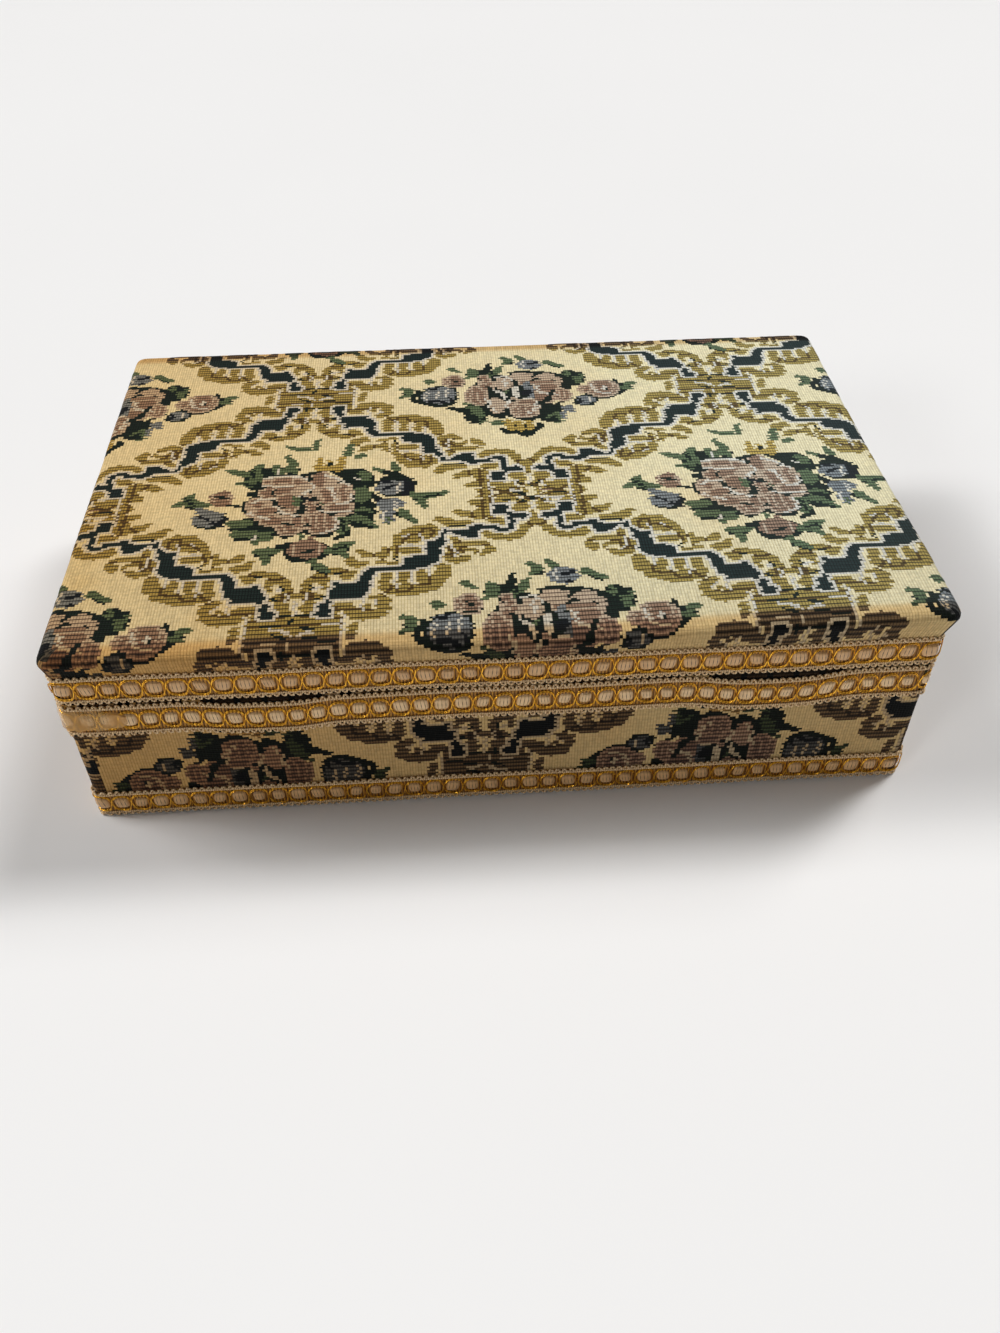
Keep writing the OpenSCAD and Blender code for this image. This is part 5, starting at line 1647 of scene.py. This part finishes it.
def make_camera():
    """The photograph's viewpoint: yaw to the right, pitch down and roll, in degrees."""
    yaw, pitch, roll = (math.radians(a) for a in (CAMERA_YAW, CAMERA_PITCH, CAMERA_ROLL))
    ahead = Vector((math.sin(yaw) * math.cos(pitch), math.cos(yaw) * math.cos(pitch), -math.sin(pitch)))
    right = Vector((math.cos(yaw), -math.sin(yaw), 0.0))
    up = right.cross(ahead)
    x_axis = right * math.cos(roll) + up * math.sin(roll)
    y_axis = up * math.cos(roll) - right * math.sin(roll)
    data = bpy.data.cameras.new("camera")
    data.sensor_width = SENSOR
    data.lens = FOCAL_PIXELS / IMAGE_HEIGHT * SENSOR
    data.clip_start, data.clip_end = 0.01, 50.0
    camera = bpy.data.objects.new("camera", data)
    bpy.context.collection.objects.link(camera)
    turn = Matrix((x_axis, y_axis, -ahead)).transposed().to_4x4()
    camera.matrix_world = Matrix.Translation(CAMERA_PLACE) @ turn
    bpy.context.scene.camera = camera


# Putting it together


def settle(piece, body, slot, *nodes):
    """Rides a piece on its body and hides the CAD nodes it stands for. Its slot is not used."""
    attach(piece, body)
    if nodes:
        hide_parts(*nodes)
    return piece


def rim_sag(x, y):
    """How far the braid under the seam hangs down in front, where its glue has let go."""
    front = y < -FLAT_D
    left = np.exp(-(((x + 63) / 15) ** 4))
    right = np.exp(-(((x - 72) / 17) ** 4))
    return np.where(front, 1.7 * left + 1.9 * right, 0.0) + 0.15 * np.sin(x / 9.0)


def lid_sag(x, y):
    return 0.15 * np.sin(x / 11.0 + 1.0)


def foot_sag(x, y):
    return 0.12 * np.sin(x / 13.0 + y / 10.0)


def build():
    make_camera()
    lid_cloth = brocade("brocade_lid", shaded_below=0.0605)
    # Painted shade: the base is drawn darker and warmer all over
    base_cloth = brocade("brocade_base", tint=SIDE_SHADE)
    thread, gold, ground, glue = braid_thread(), braid_gold(), braid_ground(), honey_glue()
    dull_pad = braid_pad("braid_pad", (226, 180, 122), (152, 104, 56), 0.33)
    pearl_pad = braid_pad("braid_pearl_pad", (242, 204, 150), (166, 120, 70), 0.24)
    silk = satin()
    lid_cover = settle(make_lid_cover(lid_cloth), "lid", "brocade", "lid_cover")
    base_cover = settle(make_base_cover(base_cloth), "base", "brocade", "base_cover")
    dull = [thread, dull_pad, gold, ground, glue]
    pearly = [thread, pearl_pad, gold, ground, glue]
    settle(make_braid("lid_gimp", dull, False, "lid_braid", 9.4, 5.7, lid_sag, 1), "lid", "braid", "lid_braid")
    left_corner = 2 * FLAT_D
    film = (left_corner - 1.0, left_corner + 19.0)
    settle(make_braid("rim_gimp", pearly, False, "base_rim_braid", 10.8, 5.45, rim_sag, 2, 0.55, film), "base",
           "braid", "base_rim_braid")
    settle(make_braid("foot_gimp", dull, True, "base_foot_braid", 9.4, 5.45, foot_sag, 3), "base", "braid",
           "base_foot_braid")
    wadding = settle(make_wadding(), "lid", "wadding", "lid_padding")
    for piece, node, half in make_linings(silk):
        settle(piece, half, "satin", node)
    floor_pad = settle(make_pad("base_floor_satin", "base_floor_pad", True, silk, "base"), "base", "satin",
                       "base_floor_pad")
    ceiling_pad = settle(make_pad("lid_ceiling_satin", "lid_ceiling_pad", False, silk, "lid"), "lid", "satin",
                         "lid_ceiling_pad")
    outer = make_hinge_cloth(base_cloth)
    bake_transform(outer)
    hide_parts("hinge_cloth_lower", "hinge_cloth_upper")
    inner = make_hinge_ribbon(silk)
    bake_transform(inner)
    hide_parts("hinge_ribbon_lower", "hinge_ribbon_upper")
    finish_nodes()


def finish_nodes():
    """Better materials on the CAD nodes that stay."""
    board, paper = grey_board(), covering_paper()
    for name, node in frame["nodes"].items():
        if name.endswith("_wall") or name.endswith("_board"):
            finish = board
        elif name == "base_underside_sheet":
            finish = paper
        else:
            continue
        node.data.materials.clear()
        node.data.materials.append(finish)


build()
make_floor()
make_world(0.06)
for right, back, share in LAMPS:
    lamp(right, back, share)
bpy.context.scene.view_settings.view_transform = "Standard"
